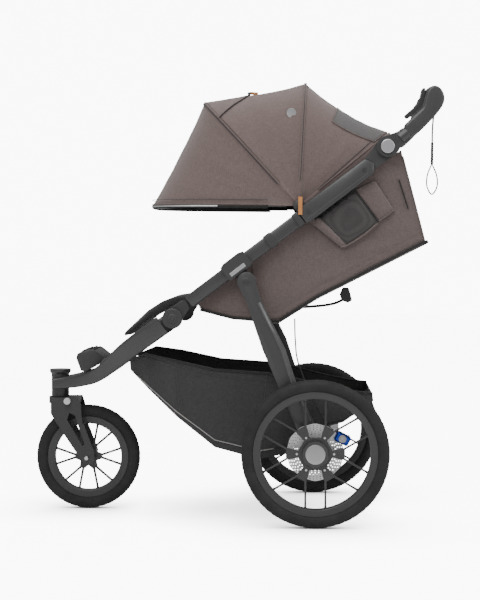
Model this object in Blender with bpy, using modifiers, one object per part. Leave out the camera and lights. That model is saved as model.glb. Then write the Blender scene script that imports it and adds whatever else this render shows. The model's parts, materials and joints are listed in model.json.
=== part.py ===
"""Jogging stroller: a folding three-wheeled frame with a fabric seat, canopy and basket.

Metres, +Z up, +X forward and +Y to the child's left. The origin is on the floor,
under the middle of the whole stroller.
"""
import math

import bmesh
import bpy
from mathutils import Matrix, Vector

# Driving dimensions -----------------------------------------------------------
GAP = 0.0003                # clearance between pieces that touch
WELD = 0.00001              # merge distance of seams
SIDES = {"left": 1.0, "right": -1.0}
TURN_STEPS = 32             # steps of a turned shape

REAR_HUB = Vector((-0.2262, 0.315, 0.200))
REAR_RADIUS = 0.200
FRONT_HUB = Vector((0.427, 0.0, 0.150))
FRONT_RADIUS = 0.150
TYRE_WIDTH = 0.045

TUBE_START = Vector((0.1198, 0.0, 0.6044))     # lower end of the main side tube
TUBE_ANGLE = math.radians(37.0)                # its rise towards the handle
TUBE_Y = 0.2355                                # middle of the tube's width
TUBE_WIDTH = 0.024
TUBE_DEPTH = 0.036
TUBE_LENGTH = 0.385
HOUSING_DEPTH = 0.047
HOUSING_LENGTH = 0.232

FRONT_HINGE = Vector((0.164, 0.0, 0.5601))     # front frame hinge in the side view
REAR_HINGE = Vector((-0.0395, 0.0, 0.6622))    # rear leg hinge in the side view
HANDLE_HUB = Vector((-0.4214, 0.0, 1.0285))    # handlebar hinge in the side view
CANOPY_HUB = Vector((-0.1821, 0.0, 0.8683))    # canopy hinge in the side view
BACK_HINGE = Vector((-0.150, 0.0, 0.606))      # recline hinge of the seat back
STEM_X = 0.5087                                # vertical swivel axis of the fork
STEM_BOTTOM = 0.3245
STEM_TOP = 0.398
STEM_RADIUS = 0.0255

LEG_Y = 0.262
LEG_WIDTH = 0.0225
BAG_Y = 0.216                                  # half width of the seat bag
FABRIC = 0.0025

# Bows of the canopy: angle about its hinge, radius, half width
BOWS = {
    "front": (math.radians(0.5), 0.4160, 0.225),
    "corner": (math.radians(47.6), 0.3980, 0.225),
    "mid": (math.radians(93.0), 0.3485, 0.225),
    "rear": (math.radians(141.3), 0.3300, 0.215),
}
BOW_FOOT = 0.034                               # radius at which the fabric starts

CHARCOAL = (0.036, 0.036, 0.037)
GRAPHITE = (0.055, 0.055, 0.056)
TAUPE = (0.130, 0.098, 0.092)


# Scene and helpers ------------------------------------------------------------
def clear_scene():
    for obj in list(bpy.data.objects):
        bpy.data.objects.remove(obj, do_unlink=True)


def make_collection(name):
    collection = bpy.data.collections.new(name)
    bpy.context.scene.collection.children.link(collection)
    return collection


def material(name, colour, roughness, metallic=0.0):
    found = bpy.data.materials.get(name)
    if found:
        return found
    made = bpy.data.materials.new(name)
    made.use_nodes = True
    shader = made.node_tree.nodes["Principled BSDF"]
    shader.inputs["Base Color"].default_value = (*colour, 1.0)
    shader.inputs["Roughness"].default_value = roughness
    shader.inputs["Metallic"].default_value = metallic
    return made


def place(name, data, paint, matrix=None, collection=None):
    """Makes the object that shows a mesh or a curve."""
    obj = bpy.data.objects.new(name, data)
    if paint and not data.materials:
        data.materials.append(paint)
    obj.matrix_world = matrix or Matrix()
    (collection or STROLLER).objects.link(obj)
    return obj


def tool(obj):
    """Moves an object to the cutters, so that it only shapes other pieces."""
    for collection in obj.users_collection:
        collection.objects.unlink(obj)
    CUTTERS.objects.link(obj)
    obj.hide_render = True
    obj.display_type = "WIRE"
    return obj


def boolean(obj, other, operation):
    modifier = obj.modifiers.new(operation.title(), "BOOLEAN")
    modifier.operation = operation
    modifier.object = tool(other)
    return obj


def bevelled(obj, width, segments=1):
    modifier = obj.modifiers.new("Bevel", "BEVEL")
    modifier.width = width
    modifier.segments = segments
    modifier.limit_method = "ANGLE"
    modifier.angle_limit = math.radians(50)
    return obj


def smooth(obj):
    obj.data.shade_smooth()
    obj.data.set_sharp_from_angle(angle=math.radians(40))
    return obj


def as_mesh(obj):
    """Turns a curve into a mesh with its caps welded, in the same place."""
    depsgraph = bpy.context.evaluated_depsgraph_get()
    mesh = bpy.data.meshes.new_from_object(obj.evaluated_get(depsgraph))
    bm = bmesh.new()
    bm.from_mesh(mesh)
    bmesh.ops.remove_doubles(bm, verts=bm.verts, dist=WELD)
    bmesh.ops.recalc_face_normals(bm, faces=bm.faces)
    bm.to_mesh(mesh)
    bm.free()
    name = obj.name
    matrix = obj.matrix_world.copy()
    paint = obj.data.materials[0]
    bpy.data.objects.remove(obj, do_unlink=True)
    return smooth(place(name, mesh, paint, matrix))


def slab(name, outline, y, width, paint):
    """An outline in the side view, as (x, z), made width thick and centred on y."""
    curve = bpy.data.curves.new(name, "CURVE")
    curve.dimensions = "2D"
    curve.fill_mode = "BOTH"
    curve.extrude = width / 2
    spline = curve.splines.new("POLY")
    spline.points.add(len(outline) - 1)
    for point, (x, z) in zip(spline.points, outline):
        point.co = (x, z, 0.0, 1.0)
    spline.use_cyclic_u = True
    matrix = Matrix.Translation((0.0, y, 0.0)) @ Matrix.Rotation(math.pi / 2, 4, "X")
    obj = place(name, curve, paint, matrix)
    bpy.context.view_layer.update()
    return as_mesh(obj)


def rod(name, points, radius, paint, resolution=2):
    """A round wire or tube through the points."""
    curve = bpy.data.curves.new(name, "CURVE")
    curve.dimensions = "3D"
    curve.bevel_depth = radius
    curve.bevel_resolution = resolution
    curve.use_fill_caps = True
    spline = curve.splines.new("POLY")
    spline.points.add(len(points) - 1)
    for point, place_at in zip(spline.points, points):
        point.co = (*place_at, 1.0)
    return place(name, curve, paint)


def rail(name, points, width, depth, paint, scales=None):
    """A rectangular tube with rounded edges through the points, upright on its path."""
    half_w, half_d = width / 2, depth / 2
    cut = 0.22 * min(width, depth)
    section = bpy.data.curves.new(name + "_section", "CURVE")
    section.dimensions = "2D"
    spline = section.splines.new("POLY")
    corners = [(half_w, half_d - cut), (half_w - cut, half_d), (cut - half_w, half_d),
               (-half_w, half_d - cut), (-half_w, cut - half_d), (cut - half_w, -half_d),
               (half_w - cut, -half_d), (half_w, cut - half_d)]
    spline.points.add(len(corners) - 1)
    for point, (x, y) in zip(spline.points, corners):
        point.co = (x, y, 0.0, 1.0)
    spline.use_cyclic_u = True
    guide = tool(place(name + "_section", section, None))
    curve = bpy.data.curves.new(name, "CURVE")
    curve.dimensions = "3D"
    curve.twist_mode = "Z_UP"
    curve.bevel_mode = "OBJECT"
    curve.bevel_object = guide
    curve.use_fill_caps = True
    spline = curve.splines.new("POLY")
    spline.points.add(len(points) - 1)
    for index, (point, place_at) in enumerate(zip(spline.points, points)):
        point.co = (*place_at, 1.0)
        point.radius = scales[index] if scales else 1.0
    obj = place(name, curve, paint)
    bpy.context.view_layer.update()
    return as_mesh(obj)


def disc(name, centre, radius, length, paint, bevel=0.0, axis="Y", segments=20):
    """A cylinder about centre, along Y, X or Z."""
    bm = bmesh.new()
    bmesh.ops.create_cone(bm, cap_ends=True, segments=segments, radius1=radius,
                          radius2=radius, depth=length)
    mesh = bpy.data.meshes.new(name)
    bm.to_mesh(mesh)
    bm.free()
    turn = {"Z": Matrix(), "Y": Matrix.Rotation(-math.pi / 2, 4, "X"),
            "X": Matrix.Rotation(math.pi / 2, 4, "Y")}[axis]
    obj = smooth(place(name, mesh, paint, Matrix.Translation(centre) @ turn))
    return bevelled(obj, bevel) if bevel else obj


def block(name, centre, size, paint, bevel=0.0, tilt=0.0):
    """A box whose long side leans by tilt about Y."""
    bm = bmesh.new()
    bmesh.ops.create_cube(bm, size=1.0)
    bmesh.ops.scale(bm, vec=size, verts=bm.verts)
    mesh = bpy.data.meshes.new(name)
    bm.to_mesh(mesh)
    bm.free()
    matrix = Matrix.Translation(centre) @ Matrix.Rotation(tilt, 4, "Y")
    obj = place(name, mesh, paint, matrix)
    return bevelled(obj, bevel) if bevel else obj


def turned(name, profile, centre, paint, steps=TURN_STEPS, closed=True):
    """A profile of (radius, height) turned about the line along Y through centre.

    It is set half a step round, so that one of its flats faces the floor."""
    mesh = bpy.data.meshes.new(name)
    edges = [(i, i + 1) for i in range(len(profile) - 1)]
    if closed:
        edges.append((len(profile) - 1, 0))
    mesh.from_pydata([(radius, 0.0, height) for radius, height in profile], edges, [])
    turn = Matrix.Rotation(-math.pi / 2, 4, "X") @ Matrix.Rotation(math.pi / steps, 4, "Z")
    obj = place(name, mesh, paint, Matrix.Translation(centre) @ turn)
    screw = obj.modifiers.new("Screw", "SCREW")
    screw.steps = steps
    screw.render_steps = steps
    screw.use_merge_vertices = True
    screw.merge_threshold = WELD
    return obj


def sheet(name, rows, thickness, paint, cap_last=False, outward=1.0):
    """A fabric wall over rows of points, thickened into a closed shell."""
    bm = bmesh.new()
    grid = [[bm.verts.new(point) for point in row] for row in rows]
    for row, following in zip(grid, grid[1:]):
        for i in range(len(row) - 1):
            bm.faces.new((row[i], row[i + 1], following[i + 1], following[i]))
    if cap_last:
        last = grid[-1]
        for i in range((len(last) - 1) // 2):
            corners = [last[i], last[i + 1], last[-2 - i], last[-1 - i]]
            bm.faces.new(list(dict.fromkeys(corners)))
    mesh = bpy.data.meshes.new(name)
    bmesh.ops.recalc_face_normals(bm, faces=bm.faces)
    bm.to_mesh(mesh)
    bm.free()
    obj = smooth(place(name, mesh, paint))
    solid = obj.modifiers.new("Solidify", "SOLIDIFY")
    solid.thickness = thickness
    solid.offset = outward
    return obj


def own_origin(obj, point):
    """Moves an object's origin to a point on its joint without moving its mesh."""
    point = Vector(point)
    obj.data.transform(Matrix.Translation(-point) @ obj.matrix_world)
    obj.matrix_world = Matrix.Translation(point)
    return obj


def along_tube(distance, offset=0.0, y=0.0):
    """A point on the main tube's line: distance up it, and offset square to it."""
    c, s = math.cos(TUBE_ANGLE), math.sin(TUBE_ANGLE)
    return Vector((TUBE_START.x - distance * c + offset * s, y,
                   TUBE_START.z + distance * s + offset * c))


def flat(points):
    return [(point.x, point.z) for point in points]


def arc(centre, radius, start, end, steps):
    """Points (x, z) on an arc in the side view, angles in degrees from +X towards +Z."""
    angles = [math.radians(start + (end - start) * i / steps) for i in range(steps + 1)]
    return [(centre[0] + radius * math.cos(a), centre[1] + radius * math.sin(a)) for a in angles]


def link(a, radius_a, b, radius_b, steps=6):
    """Outline of a bar with round ends about two points (x, z)."""
    heading = math.degrees(math.atan2(b[1] - a[1], b[0] - a[0]))
    return (arc(a, radius_a, heading + 90, heading + 270, steps)
            + arc(b, radius_b, heading - 90, heading + 90, steps))


def spline_points(knots, count):
    """Points of a smooth curve through the knots."""
    knots = [Vector(k) for k in knots]
    ends = [2 * knots[0] - knots[1]] + knots + [2 * knots[-1] - knots[-2]]
    result = []
    for i in range(count):
        position = i * (len(knots) - 1) / (count - 1)
        k = min(int(position), len(knots) - 2)
        t = position - k
        p0, p1, p2, p3 = ends[k:k + 4]
        result.append(0.5 * (2 * p1 + (p2 - p0) * t + (2 * p0 - 5 * p1 + 4 * p2 - p3) * t * t
                             + (3 * p1 - p0 - 3 * p2 + p3) * t ** 3))
    return result


# Main frame -------------------------------------------------------------------
def main_tubes(paint, housing_paint):
    half = TUBE_DEPTH / 2
    deep = HOUSING_DEPTH / 2
    joint = TUBE_LENGTH + GAP
    for side, sign in SIDES.items():
        y = sign * TUBE_Y
        outline = [along_tube(0, -half), along_tube(TUBE_LENGTH, -half),
                   along_tube(TUBE_LENGTH, half), along_tube(0, half)]
        bevelled(slab("side_tube_" + side, flat(outline), y, TUBE_WIDTH, paint), 0.005, 2)
        outline = [along_tube(joint, -deep), along_tube(joint + HOUSING_LENGTH, -deep),
                   along_tube(joint + HOUSING_LENGTH + 0.014, 0),
                   along_tube(joint + HOUSING_LENGTH, deep), along_tube(joint, deep)]
        housing = slab("upper_housing_" + side, flat(outline), y, 0.026, housing_paint)
        bevelled(housing, 0.006, 2)
        hub = (HANDLE_HUB.x, HANDLE_HUB.z)
        stem = along_tube(joint + HOUSING_LENGTH - 0.020, 0)
        ear = slab("hub_ear_" + side, link((stem.x, stem.z), 0.016, hub, 0.029),
                   sign * 0.2290, 0.0120, housing_paint)
        boolean(housing, ear, "UNION")


def hinge_lugs(paint):
    start = along_tube(-0.019, 0)
    for side, sign in SIDES.items():
        outline = link((start.x, start.z), 0.0175, (FRONT_HINGE.x, FRONT_HINGE.z), 0.024)
        bevelled(slab("hinge_lug_" + side, outline, sign * 0.2290, 0.011, paint), 0.002)


def latch_brackets(paint):
    for side, sign in SIDES.items():
        outline = [along_tube(0.126, -0.0215), along_tube(0.203, -0.0215),
                   along_tube(0.203, 0.0215), along_tube(0.190, 0.0265),
                   along_tube(0.139, 0.0265), along_tube(0.126, 0.0215)]
        cheek = slab("latch_bracket_" + side, flat(outline), sign * 0.2535, 0.0110, paint)
        tail = along_tube(0.162, -0.0303)
        lug = slab("lug_" + side, link((tail.x, tail.z), 0.0113, (REAR_HINGE.x, REAR_HINGE.z), 0.0235),
                   sign * 0.2367, 0.0250, paint)
        neck = slab("neck_" + side, flat([along_tube(0.145, -0.0420), along_tube(0.180, -0.0420),
                                          along_tube(0.180, -0.0190), along_tube(0.145, -0.0190)]),
                    sign * 0.2425, 0.0135, paint)
        boolean(boolean(cheek, neck, "UNION"), lug, "UNION")


# Front frame and fork ---------------------------------------------------------
def lofted(name, stations, paint, corner=0.28):
    """A bar with upright sides: stations are (centre, width across Y, depth in the side view)."""
    bm = bmesh.new()
    rings = []
    for index, (centre, width, depth) in enumerate(stations):
        before = Vector(stations[max(0, index - 1)][0])
        after = Vector(stations[min(len(stations) - 1, index + 1)][0])
        along = Vector((after.x - before.x, 0, after.z - before.z)).normalized()
        lift = Vector((-along.z, 0, along.x))
        half, rise, cut = width / 2, depth / 2, corner * width
        corners = [(half, cut - rise), (half, rise - cut), (half - cut, rise), (cut - half, rise),
                   (-half, rise - cut), (-half, cut - rise), (cut - half, -rise),
                   (half - cut, -rise)]
        rings.append([bm.verts.new(Vector(centre) + Vector((0, y, 0)) + lift * z)
                      for y, z in corners])
    for ring, following in zip(rings, rings[1:]):
        for i in range(8):
            j = (i + 1) % 8
            bm.faces.new((ring[i], ring[j], following[j], following[i]))
    bm.faces.new(rings[0])
    bm.faces.new(rings[-1])
    bmesh.ops.recalc_face_normals(bm, faces=bm.faces)
    bmesh.ops.triangulate(bm, faces=bm.faces)
    mesh = bpy.data.meshes.new(name)
    bm.to_mesh(mesh)
    bm.free()
    return place(name, mesh, paint)


ARM_STATIONS = [((0.1930, 0.2365, 0.5425), 0.0220, 0.0530), ((0.2328, 0.2300, 0.5135), 0.0225, 0.0525),
                ((0.2640, 0.2170, 0.4912), 0.0240, 0.0522), ((0.2952, 0.1950, 0.4680), 0.0260, 0.0510),
                ((0.3240, 0.1640, 0.4440), 0.0285, 0.0485), ((0.3517, 0.1320, 0.4209), 0.0290, 0.0445),
                ((0.3768, 0.1070, 0.4014), 0.0285, 0.0410), ((0.4048, 0.0820, 0.3855), 0.0270, 0.0380),
                ((0.4310, 0.0640, 0.3775), 0.0245, 0.0365), ((0.4572, 0.0520, 0.3713), 0.0225, 0.0350),
                ((0.4830, 0.0410, 0.3672), 0.0220, 0.0330), ((0.5080, 0.0372, 0.3642), 0.0218, 0.0315),
                ((0.5260, 0.0370, 0.3622), 0.0210, 0.0300)]


def front_frame(paint):
    for side, sign in SIDES.items():
        stations = [((x, sign * y, z), width, depth) for (x, y, z), width, depth in ARM_STATIONS]
        lofted("front_arm_" + side, stations, paint)
        disc("front_hinge_" + side, (FRONT_HINGE.x, sign * 0.2424, FRONT_HINGE.z), 0.028,
             0.0150, paint, 0.002)
    head = [(0.0, 0.0415), (0.0305, 0.0415), (0.0305, 0.0340), (STEM_RADIUS, 0.0270),
            (STEM_RADIUS, -0.0370), (0.0, -0.0370)]
    middle = (STEM_TOP + STEM_BOTTOM) / 2 + 0.0005
    stem = turned("head_tube", head, (STEM_X, 0, middle), paint, steps=28, closed=False)
    stem.matrix_world = Matrix.Translation((STEM_X, 0, middle))


def footrest(paint):
    outline = [(0.3700, 0.4420), (0.3840, 0.4240), (0.4120, 0.4070), (0.4290, 0.4020),
               (0.4380, 0.4040), (0.4510, 0.4400), (0.4480, 0.4530), (0.4160, 0.4650),
               (0.3960, 0.4625)]
    body = bevelled(slab("footrest", outline, 0.0, 0.170, paint), 0.006, 2)
    for index, (x, z) in enumerate([(0.4010, 0.4640), (0.4110, 0.4652), (0.4240, 0.4628),
                                    (0.4350, 0.4588)]):
        groove = block(f"tread_groove_{index}", (x, 0, z), (0.003, 0.150, 0.006), paint)
        boolean(body, groove, "DIFFERENCE")


def fork(paint, steel, white):
    blade = [(0.4506, 0.3235), (0.4429, 0.3000), (0.4393, 0.2539), (0.4050, 0.1640),
             *arc((FRONT_HUB.x - 0.004, FRONT_HUB.z), 0.0190, 155, 325, 8),
             (0.4560, 0.1640), (0.5200, 0.2600), (0.5300, 0.2780), (0.5300, 0.3235)]
    slot = [(0.4760, 0.2800), (0.4600, 0.2720), (0.4330, 0.1900), (0.4400, 0.1850),
            (0.4830, 0.2600)]
    crown = disc("fork", (STEM_X, 0, 0.3144), 0.0330, 0.0190, paint, axis="Z")
    for side, sign in SIDES.items():
        part = slab("blade_" + side, blade, sign * 0.0425, 0.0110, paint)
        boolean(crown, part, "UNION")
    bridge = block("fork_bridge", (0.4905, 0, 0.3144), (0.0790, 0.0960, 0.0182), paint)
    boolean(crown, bridge, "UNION")
    boolean(crown, slab("fork_window", slot, 0.0, 0.2, paint), "DIFFERENCE")
    boolean(crown, disc("axle_hole", FRONT_HUB, 0.0063, 0.2, paint), "DIFFERENCE")
    disc("front_axle", FRONT_HUB, 0.0060, 0.1080, steel, 0.001, segments=16)
    disc("swivel_knob", (0.4811, 0.0550, 0.3143), 0.0097, 0.0134, white, 0.0015, segments=20)


# Wheels -----------------------------------------------------------------------
def tyre_profile(outer, inner, width):
    """Closed tyre section with a flat tread band, clockwise, as (radius, height).

    The outer radius is that of the flats, so that the tyre stands on a flat."""
    crown = outer / math.cos(math.pi / TURN_STEPS)
    shoulder = crown - 0.006
    middle = (outer + inner) / 2
    half = width / 2
    return [(middle, half), (shoulder, 0.62 * half), (crown, 0.24 * half), (crown, -0.24 * half),
            (shoulder, -0.62 * half), (middle, -half), (inner, -0.55 * half), (inner, 0.55 * half)]


def rim_profile(outer, inner, width):
    return [(inner, width / 2 - 0.004), (outer, width / 2), (outer, -width / 2),
            (inner, 0.004 - width / 2)]


def spoke_set(name, spokes, thickness, width, centre, paint):
    """Spokes from start to end, both (x, z) about the hub, as one cutter-side mesh."""
    bm = bmesh.new()
    for start, end in spokes:
        start, end = Vector((start[0], 0, start[1])), Vector((end[0], 0, end[1]))
        run = end - start
        matrix = Matrix.Translation((start + end) / 2) @ run.to_track_quat("Z", "Y").to_matrix().to_4x4()
        made = bmesh.ops.create_cube(bm, size=1.0)["verts"]
        bmesh.ops.scale(bm, vec=(width, thickness, run.length), verts=made)
        bmesh.ops.transform(bm, matrix=matrix, verts=made)
    mesh = bpy.data.meshes.new(name)
    bm.to_mesh(mesh)
    bm.free()
    return place(name, mesh, paint, Matrix.Translation(centre))


def rotated(points, angle):
    c, s = math.cos(angle), math.sin(angle)
    return [(x * c - z * s, x * s + z * c) for x, z in points]


def rear_wheels(rubber, paint, steel):
    """Six arms carry the spokes, which run in parallel pairs between them."""
    for side, sign in SIDES.items():
        hub = Vector((REAR_HUB.x, sign * REAR_HUB.y, REAR_HUB.z))
        turned("rear_tyre_" + side, tyre_profile(REAR_RADIUS, 0.1663, TYRE_WIDTH), hub, rubber)
        rim = turned("rear_rim_" + side, rim_profile(0.1660, 0.1480, 0.030), hub, paint)
        spokes = []
        outline = []
        for sector in range(6):
            turn = math.radians(60 * sector)
            for offset in (-0.027, 0.027):
                spokes.append(rotated([(offset, 0.056), (offset, 0.152)], turn))
            outline += rotated([(0.0310, 0.0740), (0.0180, 0.0420), (-0.0180, 0.0420),
                                (-0.0310, 0.0740)], turn)
        boolean(rim, spoke_set("rear_spokes_" + side, spokes, 0.009, 0.0052, hub, paint), "UNION")
        star = slab("rear_star_" + side, [(hub.x + x, hub.z + z) for x, z in outline], hub.y,
                    0.0080, paint)
        boolean(rim, star, "UNION")
        barrel = disc("rear_barrel_" + side, hub + Vector((0, -sign * 0.0060, 0)), 0.0360,
                      0.0480, paint)
        boolean(rim, barrel, "UNION")
        bore = disc("rear_bore_" + side, hub - Vector((0, sign * 0.0180, 0)), 0.0083, 0.0300, paint)
        boolean(rim, bore, "DIFFERENCE")
        rotor = disc("brake_rotor_" + side, hub - Vector((0, sign * 0.0350, 0)), 0.0780, 0.0020,
                     steel, segments=32)
        boolean(rotor, disc("rotor_bore_" + side, hub, 0.0125, 0.2, steel), "DIFFERENCE")


def front_wheel(rubber, paint):
    """A six-pointed hub with two spokes that spread from each point."""
    turned("front_tyre", tyre_profile(FRONT_RADIUS, 0.1153, TYRE_WIDTH), FRONT_HUB, rubber)
    rim = turned("front_rim", rim_profile(0.1150, 0.0950, 0.028), FRONT_HUB, paint)
    outline = []
    spokes = []
    for point in range(6):
        turn = math.radians(60 * point)
        outline += rotated([(0.0390, -0.0070), (0.0390, 0.0070), (0.0230, 0.0150)], turn)
        for lean in (-1, 1):
            spokes.append(rotated([(0.0350, lean * 0.0030), (0.0960, lean * 0.0240)], turn))
    boolean(rim, spoke_set("front_spokes", spokes, 0.008, 0.0064, FRONT_HUB, paint), "UNION")
    star = slab("front_star", [(FRONT_HUB.x + x, FRONT_HUB.z + z) for x, z in outline], 0.0,
                0.0140, paint)
    boolean(rim, star, "UNION")
    boolean(rim, disc("front_barrel", FRONT_HUB, 0.0200, 0.0730, paint), "UNION")
    boolean(rim, disc("front_bore", FRONT_HUB, 0.0063, 0.2, paint), "DIFFERENCE")


# Rear legs and brakes ---------------------------------------------------------
def rear_legs(paint, steel, blue):
    hinge = (REAR_HINGE.x, REAR_HINGE.z)
    hub = (REAR_HUB.x, REAR_HUB.z)
    for side, sign in SIDES.items():
        outline = [*arc(hinge, 0.0262, 195, -15, 9), (-0.0371, 0.6123), (-0.0830, 0.4767),
                   (-0.1243, 0.3795), (-0.1990, 0.2080), *arc(hub, 0.0262, 10, -170, 8),
                   (-0.2460, 0.2250), (-0.1728, 0.3920), (-0.1450, 0.4770), (-0.0785, 0.6120)]
        leg = slab("rear_leg_" + side, outline, sign * LEG_Y, LEG_WIDTH, paint)
        bevelled(leg, 0.004, 2)
        disc("rear_stub_" + side, (hub[0], sign * 0.2912, hub[1]), 0.0080, 0.0350, steel,
             segments=16)
        caliper = block("brake_caliper_" + side, (-0.2995, sign * 0.2795, 0.2380),
                        (0.0420, 0.0330, 0.0280), blue, 0.004, math.radians(-28))
        boolean(caliper, disc("caliper_slot_" + side, (hub[0], sign * 0.2800, hub[1]), 0.0800,
                              0.0052, blue, segments=32), "DIFFERENCE")
    tube = disc("rear_axle_tube", (hub[0], 0, hub[1]), 0.0150, 2 * (LEG_Y - LEG_WIDTH / 2 - GAP),
                paint, axis="Y", segments=20)
    own_origin(tube, (REAR_HINGE.x, 0, REAR_HINGE.z))


def brake_cable(paint):
    knots = [(-0.1700, 0.2200, 0.5600), (-0.1720, 0.2300, 0.5000), (-0.1800, 0.2400, 0.4400),
             (-0.2150, 0.2410, 0.3500), (-0.2480, 0.2440, 0.2900), (-0.2700, 0.2560, 0.2620),
             (-0.2860, 0.2620, 0.2540)]
    rod("brake_cable", spline_points(knots, 19), 0.0025, paint, 1)


# Handlebar --------------------------------------------------------------------
def handlebar(paint, foam, silver):
    knots = [(-0.4560, 0.2416, 1.0500), (-0.4727, 0.2416, 1.0640), (-0.5006, 0.2416, 1.0895),
             (-0.5260, 0.2416, 1.1140), (-0.5420, 0.2390, 1.1400), (-0.5500, 0.2260, 1.1640),
             (-0.5520, 0.2050, 1.1760),
             (-0.5520, 0.1750, 1.1760), (-0.5520, 0.1400, 1.1760)]
    path = spline_points(knots, 13)
    mirrored = [Vector((p.x, -p.y, p.z)) for p in reversed(path)]
    bar = rod("handlebar", path + mirrored, 0.0165, paint)
    bpy.context.view_layer.update()
    bar = as_mesh(bar)
    outline = [(-0.4592, 1.0795), (-0.4834, 1.1023), (-0.5049, 1.1224), (-0.5142, 1.1310),
               (-0.5186, 1.1430), (-0.5225, 1.1620), (-0.5270, 1.1780), (-0.5345, 1.1880),
               (-0.5460, 1.1920), (-0.5590, 1.1870), (-0.5691, 1.1759), (-0.5746, 1.1611),
               (-0.5735, 1.1480), (-0.5664, 1.1320), (-0.5493, 1.1102), (-0.5379, 1.0981),
               (-0.5178, 1.0766), (-0.4863, 1.0484)]
    for side, sign in SIDES.items():
        boolean(bar, slab("bar_side_" + side, outline, sign * 0.2416, 0.0260, paint), "UNION")
    grip = disc("handle_grip", (-0.5520, 0, 1.1760), 0.0240, 0.3000, foam, 0.003, segments=24)
    boolean(grip, disc("grip_bore", (-0.5520, 0, 1.1760), 0.0168, 0.4, foam, segments=24),
            "DIFFERENCE")
    tip = (-0.4520, 1.0500)
    for side, sign in SIDES.items():
        outline = link((HANDLE_HUB.x, HANDLE_HUB.z), 0.0300, tip, 0.0190, 8)
        arm = slab("handle_hub_" + side, outline, sign * 0.2418, 0.0130, paint)
        bevelled(arm, 0.002)
        start = Matrix.Translation((-0.4560, sign * 0.2416, 1.0500))
        pocket = disc("arm_pocket_" + side, (0, 0, 0), 0.0168, 0.2, paint)
        pocket.matrix_world = start @ Vector((-0.0167, 0, 0.0140)).to_track_quat("Z", "Y").to_matrix().to_4x4()
        pocket.matrix_world = pocket.matrix_world @ Matrix.Translation((0, 0, 0.0995))
        boolean(arm, pocket, "DIFFERENCE")
        recess = (HANDLE_HUB.x, sign * 0.2483, HANDLE_HUB.z)
        boolean(arm, disc("button_recess_" + side, recess, 0.0196, 0.0100, paint), "DIFFERENCE")
        disc("hub_button_" + side, (HANDLE_HUB.x, sign * 0.2506, HANDLE_HUB.z), 0.0190, 0.0080,
             silver, 0.0015)


def brake_lever(paint):
    outline = [(-0.5270, 1.1930), (-0.5180, 1.1900), (-0.5120, 1.1630), (-0.5044, 1.1460),
               (-0.4866, 1.1307), (-0.4712, 1.1171), (-0.4710, 1.1120), (-0.4781, 1.1078),
               (-0.4952, 1.1187), (-0.5120, 1.1320), (-0.5200, 1.1430), (-0.5260, 1.1600),
               (-0.5290, 1.1790)]
    lever = slab("brake_lever", outline, 0.1720, 0.0330, paint)
    own_origin(bevelled(lever, 0.003), (-0.5225, 0.1720, 1.1860))


def wrist_strap(webbing, rubber):
    """The strap hangs between the bar's inner face and the seat bag's outer face."""
    knots = [(-0.5516, 0.2080, 1.1525), (-0.5492, 0.2140, 1.1250), (-0.5455, 0.2195, 1.0950),
             (-0.5440, 0.2205, 1.0700), (-0.5436, 0.2205, 1.0420)]
    rod("wrist_cord", spline_points(knots, 9), 0.0025, webbing, 2)
    outline = link((-0.5436, 1.0380), 0.0036, (-0.5430, 0.9820), 0.0036)
    slab("strap_keeper", outline, 0.2205, 0.0050, rubber)
    knots = [(-0.5446, 0.2205, 0.9780), (-0.5560, 0.2205, 0.9500), (-0.5570, 0.2205, 0.9200),
             (-0.5430, 0.2205, 0.8990), (-0.5300, 0.2205, 0.9200), (-0.5305, 0.2205, 0.9500),
             (-0.5412, 0.2205, 0.9780)]
    rod("wrist_loop", spline_points(knots, 19), 0.0020, webbing, 2)


# Seat -------------------------------------------------------------------------
def trough(stations, half_width, corner_steps=3):
    """U-shaped rows between top and bottom points (x, z), each with its half width."""
    rows = []
    for (top, bottom), half in zip(stations, half_width):
        top, bottom = Vector((top[0], half, top[1])), Vector((bottom[0], half, bottom[1]))
        side = [top, top.lerp(bottom, 0.45), top.lerp(bottom, 0.86)]
        low = bottom.copy()
        low.y = half * 0.93
        deep = bottom.copy()
        deep.y = half * 0.5
        left = side + [low, deep]
        centre = Vector((bottom.x, 0, bottom.z))
        right = [Vector((p.x, -p.y, p.z)) for p in reversed(left)]
        rows.append(left + [centre] + right)
    return rows


def seat_bag(paint):
    tops = [along_tube(0.02), along_tube(0.15), along_tube(0.28), along_tube(0.42), along_tube(0.56)]
    tops = flat(tops) + [(-0.4600, 1.0200)]
    bottoms = [(0.0892, 0.5848), (0.0, 0.5580), (-0.1250, 0.5460), (-0.2350, 0.6152),
               (-0.3800, 0.6886), (-0.5275, 0.7633)]
    rows = trough(list(zip(tops, bottoms)), [BAG_Y] * len(tops))
    sheet("seat_bag", rows, FABRIC, paint, cap_last=True, outward=-1.0)


def seat_pads(paint, black):
    outline = [(0.0780, 0.5920), (0.0, 0.5680), (-0.1150, 0.5650), (-0.1200, 0.5780),
               (-0.1120, 0.5900), (0.0, 0.5960), (0.0800, 0.6160), (0.0900, 0.6050)]
    bevelled(slab("seat_cushion", outline, 0.0, 0.380, paint), 0.008, 2)
    lift = math.atan2(0.1875, 0.3703)
    start = Vector(BACK_HINGE)
    back = Vector((-math.cos(lift), 0, math.sin(lift)))
    up = Vector((math.sin(lift), 0, math.cos(lift)))
    points = [start - 0.005 * up, start + 0.345 * back - 0.005 * up, start + 0.355 * back + 0.010 * up,
              start + 0.345 * back + 0.022 * up, start + 0.022 * up, start - 0.006 * back + 0.009 * up]
    pad = slab("seat_back", flat(points), 0.0, 0.372, paint)
    own_origin(bevelled(pad, 0.007, 2), BACK_HINGE)
    outline = [(0.1060, 0.6000), (0.1080, 0.6240), (0.1673, 0.6150), (0.2003, 0.6030),
               (0.2415, 0.5765), (0.3135, 0.5080), (0.3040, 0.4990), (0.2340, 0.5560),
               (0.1650, 0.5930)]
    bevelled(slab("leg_rest", outline, 0.0, 0.300, black), 0.006, 2)


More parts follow.
